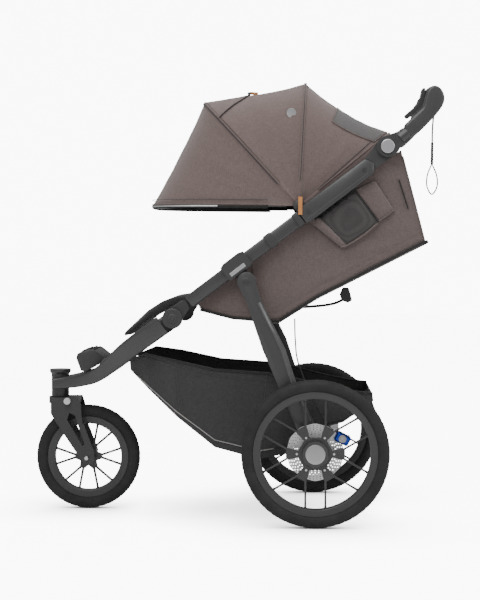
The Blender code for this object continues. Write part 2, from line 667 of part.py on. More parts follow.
def harness(black):
    base = block("harness_buckle", (-0.0450, 0, 0.6024), (0.0380, 0.0480, 0.0150), black, 0.003)
    recess = disc("button_recess", (-0.0450, 0, 0.6090), 0.0103, 0.0076, black, axis="Z")
    boolean(base, recess, "DIFFERENCE")
    disc("buckle_button", (-0.0450, 0, 0.6092), 0.0098, 0.0036, black, axis="Z")


def side_pocket(paint):
    outline = [along_tube(0.385, -0.028), along_tube(0.555, -0.028), along_tube(0.600, -0.110),
               along_tube(0.560, -0.140), along_tube(0.430, -0.140), along_tube(0.395, -0.100)]
    pocket = slab("side_pocket", flat(outline), 0.2235, 0.0120, paint)
    inside = [along_tube(0.390, -0.010), along_tube(0.552, -0.010), along_tube(0.594, -0.110),
              along_tube(0.558, -0.137), along_tube(0.432, -0.137), along_tube(0.398, -0.100)]
    boolean(pocket, slab("pocket_inside", flat(inside), 0.2235, 0.0090, paint), "DIFFERENCE")


def recline_buckle(black):
    outline = [(-0.3080, 0.6400), (-0.3250, 0.6390), (-0.3350, 0.6030), (-0.3230, 0.5960),
               (-0.3050, 0.6020), (-0.2990, 0.6200)]
    bevelled(slab("recline_buckle", outline, 0.0, 0.030, black), 0.002)
    knots = [(-0.1900, 0, 0.5830), (-0.2200, 0, 0.5835), (-0.2600, 0, 0.5880), (-0.2960, 0, 0.6020)]
    rail("recline_strap", spline_points(knots, 8), 0.0250, 0.0024, black)


# Canopy -----------------------------------------------------------------------
def bow_section(bow, inset=0.0, count=17, squareness=4.0):
    """Points of a bow: straight sides from the hinge and a rounded top."""
    angle, radius, half = BOWS[bow]
    points = []
    for i in range(count):
        t = math.pi * i / (count - 1)
        side = math.copysign(abs(math.cos(t)) ** (2 / squareness), math.cos(t)) * (half - inset)
        reach = BOW_FOOT + (radius - inset - BOW_FOOT) * math.sin(t) ** (2 / squareness)
        points.append(Vector((CANOPY_HUB.x + reach * math.cos(angle), side,
                              CANOPY_HUB.z + reach * math.sin(angle))))
    return points


def canopy_panel(name, first, second, paint, sag=0.0, rows=5):
    """Fabric stretched between two bows, pulled inwards by sag at its middle."""
    a, b = bow_section(first), bow_section(second)
    grid = []
    for i in range(rows):
        u = 0.004 + 0.992 * i / (rows - 1)
        pull = 1 - sag * math.sin(math.pi * u)
        row = []
        for p, q in zip(a, b):
            mixed = p.lerp(q, u)
            row.append(Vector((CANOPY_HUB.x + (mixed.x - CANOPY_HUB.x) * pull, mixed.y,
                               CANOPY_HUB.z + (mixed.z - CANOPY_HUB.z) * pull)))
        grid.append(row)
    sheet(name, grid, FABRIC, paint)


def canopy(paint, metal):
    canopy_panel("canopy_front_panel", "front", "corner", paint)
    canopy_panel("canopy_top_panel", "corner", "mid", paint)
    canopy_panel("canopy_rear_panel", "mid", "rear", paint, sag=0.055)
    for bow in ("front", "corner", "mid"):
        points = bow_section(bow, inset=0.0080)
        rod("canopy_bow_" + bow, points, 0.0040, metal, 1)


# Basket -----------------------------------------------------------------------
def basket(paint):
    tops = [(0.2950, 0.4370), (0.2442, 0.4570), (0.1700, 0.4440), (0.0500, 0.4180),
            (-0.0943, 0.4080), (-0.1711, 0.3940), (-0.2500, 0.3740), (-0.3280, 0.3580),
            (-0.3850, 0.3520)]
    bottoms = [(0.2920, 0.4080), (0.2350, 0.3560), (0.1560, 0.2860), (0.0500, 0.2020),
               (-0.0700, 0.1700), (-0.1500, 0.1850), (-0.2050, 0.2450), (-0.3050, 0.2720),
               (-0.3880, 0.3300)]
    halves = [0.120, 0.165, 0.205, 0.210, 0.210, 0.210, 0.205, 0.200, 0.190]
    sheet("basket", trough(list(zip(tops, bottoms)), halves), FABRIC, paint, cap_last=True,
          outward=-1.0)


def build():
    frame_paint = material("satin_frame", GRAPHITE, 0.42, 0.3)
    dark = material("moulded_black", CHARCOAL, 0.55)
    rubber = material("tyre_rubber", (0.030, 0.030, 0.031), 0.85)
    silver = material("satin_silver", (0.60, 0.60, 0.62), 0.35, 0.9)
    steel = material("steel", (0.55, 0.55, 0.56), 0.3, 1.0)
    blue = material("blue_anodised", (0.020, 0.045, 0.25), 0.3, 0.8)
    white = material("white_plastic", (0.75, 0.75, 0.75), 0.4)
    fabric = material("taupe_fabric", TAUPE, 0.9)
    mesh_cloth = material("basket_mesh", (0.045, 0.045, 0.045), 0.9)
    foam = material("grip_foam", (0.025, 0.025, 0.026), 0.8)

    main_tubes(frame_paint, frame_paint)
    hinge_lugs(dark)
    latch_brackets(dark)
    front_frame(frame_paint)
    footrest(dark)
    fork(dark, steel, white)
    rear_wheels(rubber, dark, steel)
    front_wheel(rubber, dark)
    rear_legs(frame_paint, steel, blue)
    brake_cable(dark)
    handlebar(dark, foam, silver)
    brake_lever(dark)
    wrist_strap(mesh_cloth, dark)
    seat_bag(fabric)
    seat_pads(fabric, mesh_cloth)
    harness(dark)
    side_pocket(mesh_cloth)
    recline_buckle(dark)
    canopy(fabric, steel)
    basket(mesh_cloth)


clear_scene()
STROLLER = make_collection("jogging_stroller")
CUTTERS = make_collection("cutters")
build()
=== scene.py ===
"""Looks of the jogging stroller: fabric, rubber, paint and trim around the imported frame.

Metres, +X forward, +Y to the child's left, +Z up. The photograph looks along -Y.
"""
import json
import math

import bmesh
import bpy
from mathutils import Matrix, Vector, noise


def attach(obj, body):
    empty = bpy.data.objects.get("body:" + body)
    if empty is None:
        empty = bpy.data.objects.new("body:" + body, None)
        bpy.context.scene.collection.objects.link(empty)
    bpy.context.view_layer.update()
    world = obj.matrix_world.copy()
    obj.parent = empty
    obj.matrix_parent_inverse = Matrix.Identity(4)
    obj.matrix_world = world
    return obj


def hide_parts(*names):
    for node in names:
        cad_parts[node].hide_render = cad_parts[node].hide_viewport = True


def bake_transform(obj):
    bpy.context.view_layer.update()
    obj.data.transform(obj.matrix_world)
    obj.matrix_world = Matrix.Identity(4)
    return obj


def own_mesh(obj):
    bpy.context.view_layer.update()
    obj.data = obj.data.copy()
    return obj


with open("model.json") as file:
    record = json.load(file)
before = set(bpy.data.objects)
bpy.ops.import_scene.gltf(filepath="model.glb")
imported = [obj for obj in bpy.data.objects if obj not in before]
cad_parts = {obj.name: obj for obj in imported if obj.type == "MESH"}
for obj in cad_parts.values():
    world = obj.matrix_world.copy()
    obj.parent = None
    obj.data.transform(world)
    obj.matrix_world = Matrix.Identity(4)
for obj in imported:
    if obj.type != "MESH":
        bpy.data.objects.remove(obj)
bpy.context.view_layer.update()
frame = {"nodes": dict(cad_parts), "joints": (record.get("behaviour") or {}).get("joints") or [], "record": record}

JOINTS = {joint["name"]: joint for joint in frame["joints"]}
BODY_OF = {node: body for body, nodes in frame["record"]["behaviour"]["bodies"].items()
           for node in nodes}
SLOT_OF = {part["node"]: part["material_slot"] for part in frame["record"]["subparts"]}
SIDES = {"left": 1.0, "right": -1.0}

# Driving places, taken from the frame -----------------------------------------
CANOPY_HUB = Vector(JOINTS["canopy_rear_fold"]["pos_m"])
FRONT_HINGE = Vector(JOINTS["frame_fold"]["pos_m"])
REAR_HINGE = Vector(JOINTS["rear_leg_fold"]["pos_m"])
FRONT_HUB = Vector(JOINTS["front_wheel_spin"]["pos_m"])
REAR_HUB = Vector(JOINTS["rear_wheel_left_spin"]["pos_m"])
BACK_HINGE = Vector(JOINTS["seat_recline"]["pos_m"])
TUBE_ANGLE = math.radians(37.0)
TUBE_START = Vector((0.1198, 0.0, 0.6044))
TUBE_Y = 0.2355
BAR_Y = 0.2416                 # middle of the handlebar's sides
GRIP_CENTRE = Vector((-0.5520, 0.0, 1.1760))
STRAP_Y = 0.2205               # the wrist strap hangs here, inside the handlebar's side
BAG_Y = 0.216
BACK_LIFT = math.atan2(0.1875, 0.3703)         # slope of the back rest
BACK_ALONG = Vector((-math.cos(BACK_LIFT), 0, math.sin(BACK_LIFT)))
BACK_UP = Vector((math.sin(BACK_LIFT), 0, math.cos(BACK_LIFT)))


# Materials --------------------------------------------------------------------
def principled(name, colour, roughness, metallic=0.0, sheen=0.0, coat=0.0, specular=0.5):
    mat = bpy.data.materials.new(name)
    mat.use_nodes = True
    shader = mat.node_tree.nodes["Principled BSDF"]
    shader.inputs["Base Color"].default_value = (*colour, 1.0)
    shader.inputs["Roughness"].default_value = roughness
    shader.inputs["Metallic"].default_value = metallic
    shader.inputs["Sheen Weight"].default_value = sheen
    shader.inputs["Sheen Roughness"].default_value = 0.5
    shader.inputs["Coat Weight"].default_value = coat
    shader.inputs["Specular IOR Level"].default_value = specular
    return mat


class Graph:
    """Short calls for building one material's nodes."""

    def __init__(self, mat):
        self.mat = mat
        self.nodes = mat.node_tree.nodes
        self.links = mat.node_tree.links
        self.shader = self.nodes["Principled BSDF"]
        self.place = self.nodes.new("ShaderNodeTexCoord").outputs["Object"]

    def node(self, kind, **values):
        made = self.nodes.new("ShaderNode" + kind)
        for key, value in values.items():
            if hasattr(made, key):
                setattr(made, key, value)
            else:
                self.feed(made.inputs[key.replace("_", " ")], value)
        return made

    def feed(self, socket, value):
        if isinstance(value, bpy.types.NodeSocket):
            self.links.new(value, socket)
        else:
            socket.default_value = value

    def noise(self, scale, detail=2.0, stretch=None, roughness=0.5):
        place = self.place
        if stretch:
            mapping = self.node("Mapping", Vector=place)
            mapping.inputs["Scale"].default_value = stretch
            place = mapping.outputs["Vector"]
        return self.node("TexNoise", Vector=place, Scale=scale, Detail=detail,
                         Roughness=roughness).outputs["Fac"]

    def ramp(self, fac, stops):
        made = self.node("ValToRGB", Fac=fac)
        ramp = made.color_ramp
        while len(ramp.elements) < len(stops):
            ramp.elements.new(0.5)
        for element, (position, colour) in zip(ramp.elements, stops):
            element.position = position
            element.color = (*colour, 1.0)
        return made.outputs["Color"]

    def scaled(self, value, low, high):
        made = self.node("MapRange", Value=value)
        made.inputs["To Min"].default_value = low
        made.inputs["To Max"].default_value = high
        return made.outputs["Result"]

    def math(self, operation, a, b=0.0):
        made = self.nodes.new("ShaderNodeMath")
        made.operation = operation
        self.feed(made.inputs[0], a)
        self.feed(made.inputs[1], b)
        return made.outputs[0]

    def bump(self, height, strength, distance, under=None):
        made = self.node("Bump", Height=height, Strength=strength, Distance=distance)
        if under:
            self.links.new(under, made.inputs["Normal"])
        return made.outputs["Normal"]

    def done(self, colour=None, roughness=None, normal=None):
        for name, value in (("Base Color", colour), ("Roughness", roughness), ("Normal", normal)):
            if value is not None:
                self.feed(self.shader.inputs[name], value)
        return self.mat


def shade(colour, factor):
    return tuple(min(1.0, c * factor) for c in colour)


def woven(name, colour, pitch=0.0011, contrast=0.16, melange=0.10, bump=0.35):
    """Plain weave with a melange yarn, from the place of the surface in space."""
    mat = principled(name, colour, 0.88, sheen=0.25, specular=0.25)
    g = Graph(mat)
    split = g.node("SeparateXYZ", Vector=g.place)
    turns = 2 * math.pi / pitch
    wave = {axis: g.math("SINE", g.math("MULTIPLY", split.outputs[axis], turns)) for axis in "XYZ"}
    across = g.math("MULTIPLY", wave["X"], g.math("ADD", wave["Z"], wave["Y"]))
    yarn = g.noise(520.0, 2.0, (1.0, 1.0, 0.18))
    weft = g.noise(520.0, 2.0, (0.18, 1.0, 1.0))
    mixed = g.math("MULTIPLY", g.math("ADD", yarn, weft), 0.5)
    worn = g.noise(7.0, 3.0)
    tone = g.math("ADD", g.math("MULTIPLY", mixed, 1 - melange), g.math("MULTIPLY", worn, melange))
    colours = g.ramp(tone, [(0.36, shade(colour, 1 - contrast)),
                            (0.64, shade(colour, 1 + contrast))])
    coarse = g.bump(g.noise(38.0, 3.0), 0.10, 0.004)
    return g.done(colours, g.scaled(mixed, 0.80, 0.95), g.bump(across, bump, 0.0003, coarse))


def moulded(name, colour, roughness=0.5, grain=1400.0, edge_wear_and_highlight=0.35):
    """Grained moulding, a little lighter at its edges: partly worn by rubbing, partly a painted edge highlight."""
    mat = principled(name, colour, roughness, specular=0.45)
    g = Graph(mat)
    edges = g.node("NewGeometry").outputs["Pointiness"]
    # Edges lightened from pointiness: partly worn by rubbing, partly a painted highlight along the edges.
    rubbed_and_lit_edges = g.ramp(edges, [(0.50, shade(colour, 1.0)), (0.58, shade(colour, 1 + edge_wear_and_highlight))])
    spots = g.noise(60.0, 3.0)
    mix = g.node("Mix", data_type="RGBA", blend_type="MULTIPLY")
    mix.inputs[0].default_value = 0.25
    g.feed(mix.inputs[6], rubbed_and_lit_edges)
    g.feed(mix.inputs[7], g.ramp(spots, [(0.3, (0.75, 0.75, 0.75)), (0.7, (1.0, 1.0, 1.0))]))
    rough = g.scaled(g.noise(25.0, 2.0), roughness - 0.06, roughness + 0.08)
    return g.done(mix.outputs[2], rough, g.bump(g.noise(grain, 2.0), 0.18, 0.0004))


def painted(name, colour, roughness=0.38):
    """Fine satin powder coat."""
    mat = principled(name, colour, roughness, metallic=0.25, coat=0.15)
    g = Graph(mat)
    flecks = g.ramp(g.noise(900.0, 1.0), [(0.35, shade(colour, 0.88)), (0.70, shade(colour, 1.14))])
    rough = g.scaled(g.noise(14.0, 3.0), roughness - 0.05, roughness + 0.10)
    return g.done(flecks, rough, g.bump(g.noise(420.0, 2.0), 0.10, 0.0006))


def tyre_rubber(name, colour):
    mat = principled(name, colour, 0.80, specular=0.35)
    g = Graph(mat)
    dust = g.ramp(g.noise(22.0, 4.0, roughness=0.65),
                  [(0.35, shade(colour, 0.85)), (0.75, shade(colour, 1.35))])
    return g.done(dust, g.scaled(g.noise(40.0, 2.0), 0.70, 0.92),
                  g.bump(g.noise(700.0, 3.0), 0.25, 0.0006))


def metal(name, colour, roughness=0.28, stretch=(1.0, 1.0, 30.0)):
    mat = principled(name, colour, roughness, metallic=1.0)
    g = Graph(mat)
    lines = g.noise(90.0, 3.0, stretch)
    return g.done(None, g.scaled(lines, roughness - 0.08, roughness + 0.14),
                  g.bump(lines, 0.06, 0.0004))


def leather(name, colour, grain=520.0, roughness=0.48):
    mat = principled(name, colour, roughness, specular=0.4)
    g = Graph(mat)
    cells = g.node("TexVoronoi", Vector=g.place, Scale=grain, feature="F1")
    height = g.math("ADD", cells.outputs["Distance"], g.math("MULTIPLY", g.noise(grain * 0.4), 0.5))
    colours = g.ramp(g.noise(30.0, 4.0), [(0.3, shade(colour, 0.82)), (0.7, shade(colour, 1.18))])
    return g.done(colours, g.scaled(height, roughness - 0.1, roughness + 0.15),
                  g.bump(height, 0.30, 0.0006))


def netting(name, colour, hole=0.0022, open_to=0.25):
    """Knitted mesh: small round holes, darker than the yarn between them."""
    mat = principled(name, colour, 0.85, sheen=0.15, specular=0.3)
    g = Graph(mat)
    cells = g.node("TexVoronoi", Vector=g.place, Scale=1.0 / hole, feature="F1", Randomness=0.15)
    colours = g.ramp(cells.outputs["Distance"], [(0.22, shade(colour, open_to)), (0.40, colour)])
    return g.done(colours, None, g.bump(cells.outputs["Distance"], 0.6, 0.0005))


TAUPE = (0.150, 0.113, 0.105)
SEAT_TAUPE = (0.128, 0.100, 0.094)
MAT = {
    "canopy": woven("canopy_weave", TAUPE),
    "seat": woven("seat_weave", SEAT_TAUPE),
    "lining": woven("dark_lining", (0.030, 0.029, 0.029), contrast=0.20),
    "basket": woven("basket_weave", (0.042, 0.042, 0.043), pitch=0.0016, contrast=0.22),
    "pad": woven("pad_knit", (0.028, 0.028, 0.029), pitch=0.0020, contrast=0.20),
    "net": netting("dark_net", (0.060, 0.056, 0.055)),
    "vent": netting("vent_net", (0.110, 0.106, 0.104), open_to=0.35),
    "webbing": woven("webbing", (0.018, 0.018, 0.018), pitch=0.0014, contrast=0.25),
    "piping": woven("dark_piping", (0.020, 0.019, 0.019), pitch=0.0010),
    "reflective": metal("reflective_piping", (0.55, 0.55, 0.56), 0.42),
    "basket_piping": woven("light_piping", (0.30, 0.29, 0.28), pitch=0.0010),
    "thread": woven("thread", (0.090, 0.068, 0.063), pitch=0.0008),
    # Dark thread for stitching, also drawn as the painted shade line in the canopy's peak groove.
    "dark_thread_and_groove_shade": woven("dark_thread_and_groove_shade", (0.050, 0.048, 0.048), pitch=0.0008),
    "frame_satin": painted("frame_paint", (0.052, 0.052, 0.053)),
    # Lighter paint: a painted highlight on the rear legs' bevelled edges; also the line along each housing's
    # groove.
    "leg_light": painted("leg_strip", (0.085, 0.085, 0.086)),
    "moulded_black": moulded("black_moulding", (0.034, 0.034, 0.035)),
    "wheel_black": painted("wheel_paint", (0.045, 0.045, 0.046), 0.42),
    "tyre_rubber": tyre_rubber("tyre_rubber", (0.020, 0.020, 0.021)),
    "soft_rubber": tyre_rubber("soft_rubber", (0.030, 0.030, 0.031)),
    "satin_silver": metal("satin_silver", (0.62, 0.62, 0.64), 0.32),
    "steel": metal("ground_steel", (0.60, 0.60, 0.61), 0.26),
    "rotor_steel": metal("rotor_steel", (0.80, 0.80, 0.81), 0.52),
    "cap_silver": metal("cap_silver", (0.42, 0.42, 0.43), 0.40),
    "blue_anodised": metal("blue_anodised", (0.030, 0.070, 0.42), 0.28),
    "white_plastic": moulded("white_moulding", (0.62, 0.62, 0.62), 0.35, edge_wear_and_highlight=0.0),
    "grip_leather": leather("grip_leather", (0.018, 0.018, 0.019)),
    "orange_leather": leather("orange_leather", (0.52, 0.22, 0.07), 800.0),
}
NODE_MAT = {"webbing": "webbing", "dark_fabric": "basket", "canopy_fabric": "canopy",
            "seat_fabric": "seat"}


# Shape helpers ----------------------------------------------------------------
def show(name, data, mat, body=None, slot=None, matrix=None):
    """Puts a mesh or curve in the scene, painted, riding on a body."""
    obj = bpy.data.objects.new(name, data)
    data.materials.append(MAT[mat])
    bpy.context.scene.collection.objects.link(obj)
    if matrix is not None:
        obj.matrix_world = matrix
    if body:
        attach(obj, body)
    return obj


def mesh_from(name, bm, angle=40.0):
    bmesh.ops.recalc_face_normals(bm, faces=bm.faces)
    mesh = bpy.data.meshes.new(name)
    bm.to_mesh(mesh)
    bm.free()
    mesh.shade_smooth()
    mesh.set_sharp_from_angle(angle=math.radians(angle))
    return mesh


def bevel(obj, width, segments=3, angle=35.0):
    modifier = obj.modifiers.new("Bevel", "BEVEL")
    modifier.width = width
    modifier.segments = segments
    modifier.limit_method = "ANGLE"
    modifier.angle_limit = math.radians(angle)
    modifier.harden_normals = True
    return obj


def thicken(obj, thickness, offset=-1.0):
    modifier = obj.modifiers.new("Solidify", "SOLIDIFY")
    modifier.thickness = thickness
    modifier.offset = offset
    return obj


def grid_bm(rows, closed=False, cap_ends=False):
    """A surface over rows of points; closed joins each row's ends."""
    bm = bmesh.new()
    made = [[bm.verts.new(point) for point in row] for row in rows]
    for row, following in zip(made, made[1:]):
        count = len(row) if closed else len(row) - 1
        for i in range(count):
            j = (i + 1) % len(row)
            bm.faces.new((row[i], row[j], following[j], following[i]))
    if cap_ends:
        bm.faces.new(made[0])
        bm.faces.new(made[-1])
    return bm


def smooth_path(knots, count):
    """Points of a smooth curve through the knots."""
    knots = [Vector(k) for k in knots]
    ends = [2 * knots[0] - knots[1]] + knots + [2 * knots[-1] - knots[-2]]
    result = []
    for i in range(count):
        position = i * (len(knots) - 1) / (count - 1)
        k = min(int(position), len(knots) - 2)
        t = position - k
        p0, p1, p2, p3 = ends[k:k + 4]
        result.append(0.5 * (2 * p1 + (p2 - p0) * t + (2 * p0 - 5 * p1 + 4 * p2 - p3) * t * t
                             + (3 * p1 - p0 - 3 * p2 + p3) * t ** 3))
    return result


def eased(i, last):
    """0 to pi in last steps, closest together at both ends."""
    return math.pi * (1 - math.cos(math.pi * i / last)) / 2


def mirrored(points):
    """The points on the other side of the middle, in reverse order."""
    return [Vector((p.x, -p.y, p.z)) for p in reversed(points)]


def tangents(points):
    result = []
    for i in range(len(points)):
        before, after = points[max(0, i - 1)], points[min(len(points) - 1, i + 1)]
        result.append((after - before).normalized())
    return result


def tube(name, points, radius, mat, body, slot, sides=4):
    """A round cord, piping or wire along the points."""
    curve = bpy.data.curves.new(name, "CURVE")
    curve.dimensions = "3D"
    curve.bevel_depth = radius
    curve.bevel_resolution = sides
    curve.use_fill_caps = True
    spline = curve.splines.new("POLY")
    spline.points.add(len(points) - 1)
    for point, at in zip(spline.points, points):
        point.co = (*at, 1.0)
    return show(name, curve, mat, body, slot)


def cord_mesh(name, points, radius, mat, slot, count=12):
    """A round cord as a mesh along the points."""
    rows = []
    for point, along in zip(points, tangents(points)):
        side = along.orthogonal().normalized()
        rows.append([point + (Matrix.Rotation(2 * math.pi * i / count, 3, along) @ side) * radius
                     for i in range(count)])
    return show(name, mesh_from(name, grid_bm(rows, True, True)), mat, None, slot)


def section(width, depth, square, count):
    """A rounded rectangle as (across, up), squarer as square grows."""
    points = []
    for i in range(count):
        a = 2 * math.pi * i / count
        c, s = math.cos(a), math.sin(a)
        points.append((math.copysign(abs(c) ** (2 / square), c) * width / 2,
                       math.copysign(abs(s) ** (2 / square), s) * depth / 2))
    return points


def loft(name, points, widths, depths, look, square, count, axes):
    """Rounded rectangles along the points; axes gives each one's across and up."""
    rows = []
    for point, along, width, depth in zip(points, tangents(points), widths, depths):
        across, up = axes(along)
        rows.append([point + across * x + up * z for x, z in section(width, depth, square, count)])
    return show(name, mesh_from(name, grid_bm(rows, True, True)), *look)


def bar(name, points, widths, depths, mat, body, slot, square=4.0, count=24, up=(0, 0, 1)):
    """A rounded rectangular bar lofted along the points, its depth towards up."""
    def axes(along):
        side = along.cross(Vector(up)).normalized()
        return side, side.cross(along).normalized()

    return loft(name, points, widths, depths, (mat, body, slot), square, count, axes)


def upright_bar(name, points, widths, depths, mat, body, slot, square=4.0, count=32):
    """A bar whose sections stay upright: width across Y, depth in the side view."""
    def axes(along):
        run = Vector((along.x, 0, along.z)).normalized()
        return Vector((0, 1, 0)), Vector((-run.z, 0, run.x))

    return loft(name, points, widths, depths, (mat, body, slot), square, count, axes)


def ribbon(name, points, width, thickness, across, mat, body, slot):
    """Flat webbing along the points, with its width towards across."""
    across = Vector(across).normalized()
    rows = []
    for point, along in zip(points, tangents(points)):
        face = along.cross(across).normalized()
        side = face.cross(along).normalized()
        half, rise = side * width / 2, face * thickness / 2
        row = [point - half - rise, point + half - rise, point + half * 1.02, point + half + rise,
               point - half + rise, point - half * 1.02]
        rows.append(row)
    return show(name, mesh_from(name, grid_bm(rows, True, True)), mat, body, slot)


def stitches(name, points, mat, body, slot, pitch=0.006, length=0.0035, radius=0.00045):
    """A row of sewn stitches along a path."""
    bm = bmesh.new()
    travelled, due = 0.0, 0.0
    for a, b in zip(points, points[1:]):
        step = (b - a).length
        while due <= travelled + step and step > 1e-9:
            at = a.lerp(b, (due - travelled) / step)
            turn = (b - a).to_track_quat("Z", "Y").to_matrix().to_4x4()
            made = bmesh.ops.create_icosphere(bm, subdivisions=1, radius=radius)["verts"]
            bmesh.ops.scale(bm, vec=(1, 1, length / radius / 2), verts=made)
            bmesh.ops.transform(bm, matrix=Matrix.Translation(at) @ turn, verts=made)
            due += pitch
        travelled += step
    return show(name, mesh_from(name, bm, 80), mat, body, slot)


def turned(name, profile, centre, mat, body, slot, steps=64, axis="Y", sign=1.0):
    """An open or closed profile of (radius, height) turned about an axis through centre."""
    rows = []
    for i in range(steps):
        a = 2 * math.pi * i / steps
        rows.append([Vector((r * math.cos(a), r * math.sin(a), h * sign)) for r, h in profile])
    bm = grid_bm([list(column) for column in zip(*rows)], closed=True)
    bmesh.ops.remove_doubles(bm, verts=bm.verts, dist=1e-6)
    turn = {"Z": Matrix(), "Y": Matrix.Rotation(-math.pi / 2, 4, "X"),
            "X": Matrix.Rotation(math.pi / 2, 4, "Y")}[axis]
    bm.transform(Matrix.Translation(centre) @ turn)
    return show(name, mesh_from(name, bm), mat, body, slot)


def plate(name, outline, y, width, mat, body, slot, holes=(), edge=0.0, segments=3):
    """A flat outline in the side view as (x, z), width thick, with holes and rounded edges."""
    curve = bpy.data.curves.new(name, "CURVE")
    curve.dimensions = "2D"
    curve.fill_mode = "BOTH"
    curve.extrude = width / 2
    for ring in [outline, *holes]:
        spline = curve.splines.new("POLY")
        spline.points.add(len(ring) - 1)
        for point, (x, z) in zip(spline.points, ring):
            point.co = (x, z, 0.0, 1.0)
        spline.use_cyclic_u = True
    holder = bpy.data.objects.new(name + "_flat", curve)
    bpy.context.scene.collection.objects.link(holder)
    bpy.context.view_layer.update()
    mesh = bpy.data.meshes.new_from_object(holder.evaluated_get(
        bpy.context.evaluated_depsgraph_get()))
    bpy.data.objects.remove(holder, do_unlink=True)
    bm = bmesh.new()
    bm.from_mesh(mesh)
    bmesh.ops.remove_doubles(bm, verts=bm.verts, dist=1e-6)
    bmesh.ops.dissolve_limit(bm, angle_limit=0.01, verts=bm.verts, edges=bm.edges)
    bm.transform(Matrix.Translation((0, y, 0)) @ Matrix.Rotation(math.pi / 2, 4, "X"))
    obj = show(name, mesh_from(name, bm), mat, body, slot)
    return bevel(obj, edge, segments) if edge else obj


def ring(centre, radius, count=24, start=0.0):
    return [(centre[0] + radius * math.cos(start + 2 * math.pi * i / count),
             centre[1] + radius * math.sin(start + 2 * math.pi * i / count)) for i in range(count)]


def rounded_box(name, centre, size, mat, body, slot, edge, tilt=0.0):
    bm = bmesh.new()
    bmesh.ops.create_cube(bm, size=1.0)
    bmesh.ops.scale(bm, vec=size, verts=bm.verts)
    bm.transform(Matrix.Translation(centre) @ Matrix.Rotation(tilt, 4, "Y"))
    return bevel(show(name, mesh_from(name, bm), mat, body, slot), edge, 4)


def lined_shell(name, rows, mat, slot):
    """An open shell over rows from front to rear, lined inside and closed at its last row."""
    bm = grid_bm(rows)
    bm.verts.ensure_lookup_table()
    last = [bm.verts[i] for i in range(len(bm.verts) - len(rows[0]), len(bm.verts))]
    for i in range((len(last) - 1) // 2):
        corners = list(dict.fromkeys([last[i], last[i + 1], last[-2 - i], last[-1 - i]]))
        if len(corners) > 2:
            bm.faces.new(corners)
    obj = show(name + "_shown", mesh_from(name, bm, 55), mat, "main_frame", slot)
    if obj.data.polygons[20].normal.y < 0:
        obj.data.flip_normals()
    obj.data.materials.append(MAT["lining"])
    return obj


def along_tube(distance, offset=0.0, y=0.0):
    """A point by the main tube: distance up it, offset square to it in the side view."""
    c, s = math.cos(TUBE_ANGLE), math.sin(TUBE_ANGLE)
    return Vector((TUBE_START.x - distance * c + offset * s, y,
                   TUBE_START.z + distance * s + offset * c))


def flat(points):
    return [(point.x, point.z) for point in points]


def refine(node, edge=0.0, mat=None):
    """A CAD node as one smooth-shaded piece with rounded edges, standing for the node."""
    source = frame["nodes"][node]
    bm = bmesh.new()
    bm.from_mesh(source.data)
    bmesh.ops.remove_doubles(bm, verts=bm.verts, dist=1e-6)
    bmesh.ops.dissolve_limit(bm, angle_limit=0.015, verts=bm.verts, edges=bm.edges)
    slot = SLOT_OF[node]
    obj = show(node + "_shown", mesh_from(node, bm), mat or NODE_MAT.get(slot, slot),
               BODY_OF[node], slot)
    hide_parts(node)
    return bevel(obj, edge) if edge else obj


# Camera, light and floor ------------------------------------------------------
def camera():
    data = bpy.data.cameras.new("camera")
    data.sensor_width = 36.0
    data.lens = 93.96
    obj = bpy.data.objects.new("camera", data)
    obj.location = (-0.173, 4.510, 0.749)
    yaw, pitch = math.radians(2.04), math.radians(1.85)
    look = Vector((math.sin(yaw) * math.cos(pitch), -math.cos(yaw) * math.cos(pitch),
                   -math.sin(pitch)))
    obj.rotation_euler = look.to_track_quat("-Z", "Y").to_euler()
    bpy.context.scene.collection.objects.link(obj)
    bpy.context.scene.camera = obj


def area_light(name, place, target, size, power):
    data = bpy.data.lights.new(name, "AREA")
    data.shape = "RECTANGLE"
    data.size, data.size_y = size
    data.energy = power
    obj = bpy.data.objects.new(name, data)
    obj.location = place
    obj.rotation_euler = (Vector(target) - Vector(place)).to_track_quat("-Z", "Y").to_euler()
    bpy.context.scene.collection.objects.link(obj)


def camera_only(mat, strength, near=None):
    """Light seen by the camera alone, so that the paper looks white without lighting anything; with near given, it
    is dimmed by ambient occlusion close to the things on it, a painted contact shadow.
    """
    g = Graph(mat)
    seen = g.node("LightPath").outputs["Is Camera Ray"]
    level = g.math("MULTIPLY", seen, strength)
    if near:
        # Ambient occlusion dims the glow near the stroller: painted contact shadow on the floor.
        contact_shadow_ao = g.node("AmbientOcclusion", Distance=near).outputs["AO"]
        level = g.math("MULTIPLY", level, g.math("POWER", contact_shadow_ao, 2.2))
    g.shader.inputs["Emission Color"].default_value = (1.0, 1.0, 1.0, 1.0)
    g.feed(g.shader.inputs["Emission Strength"], level)


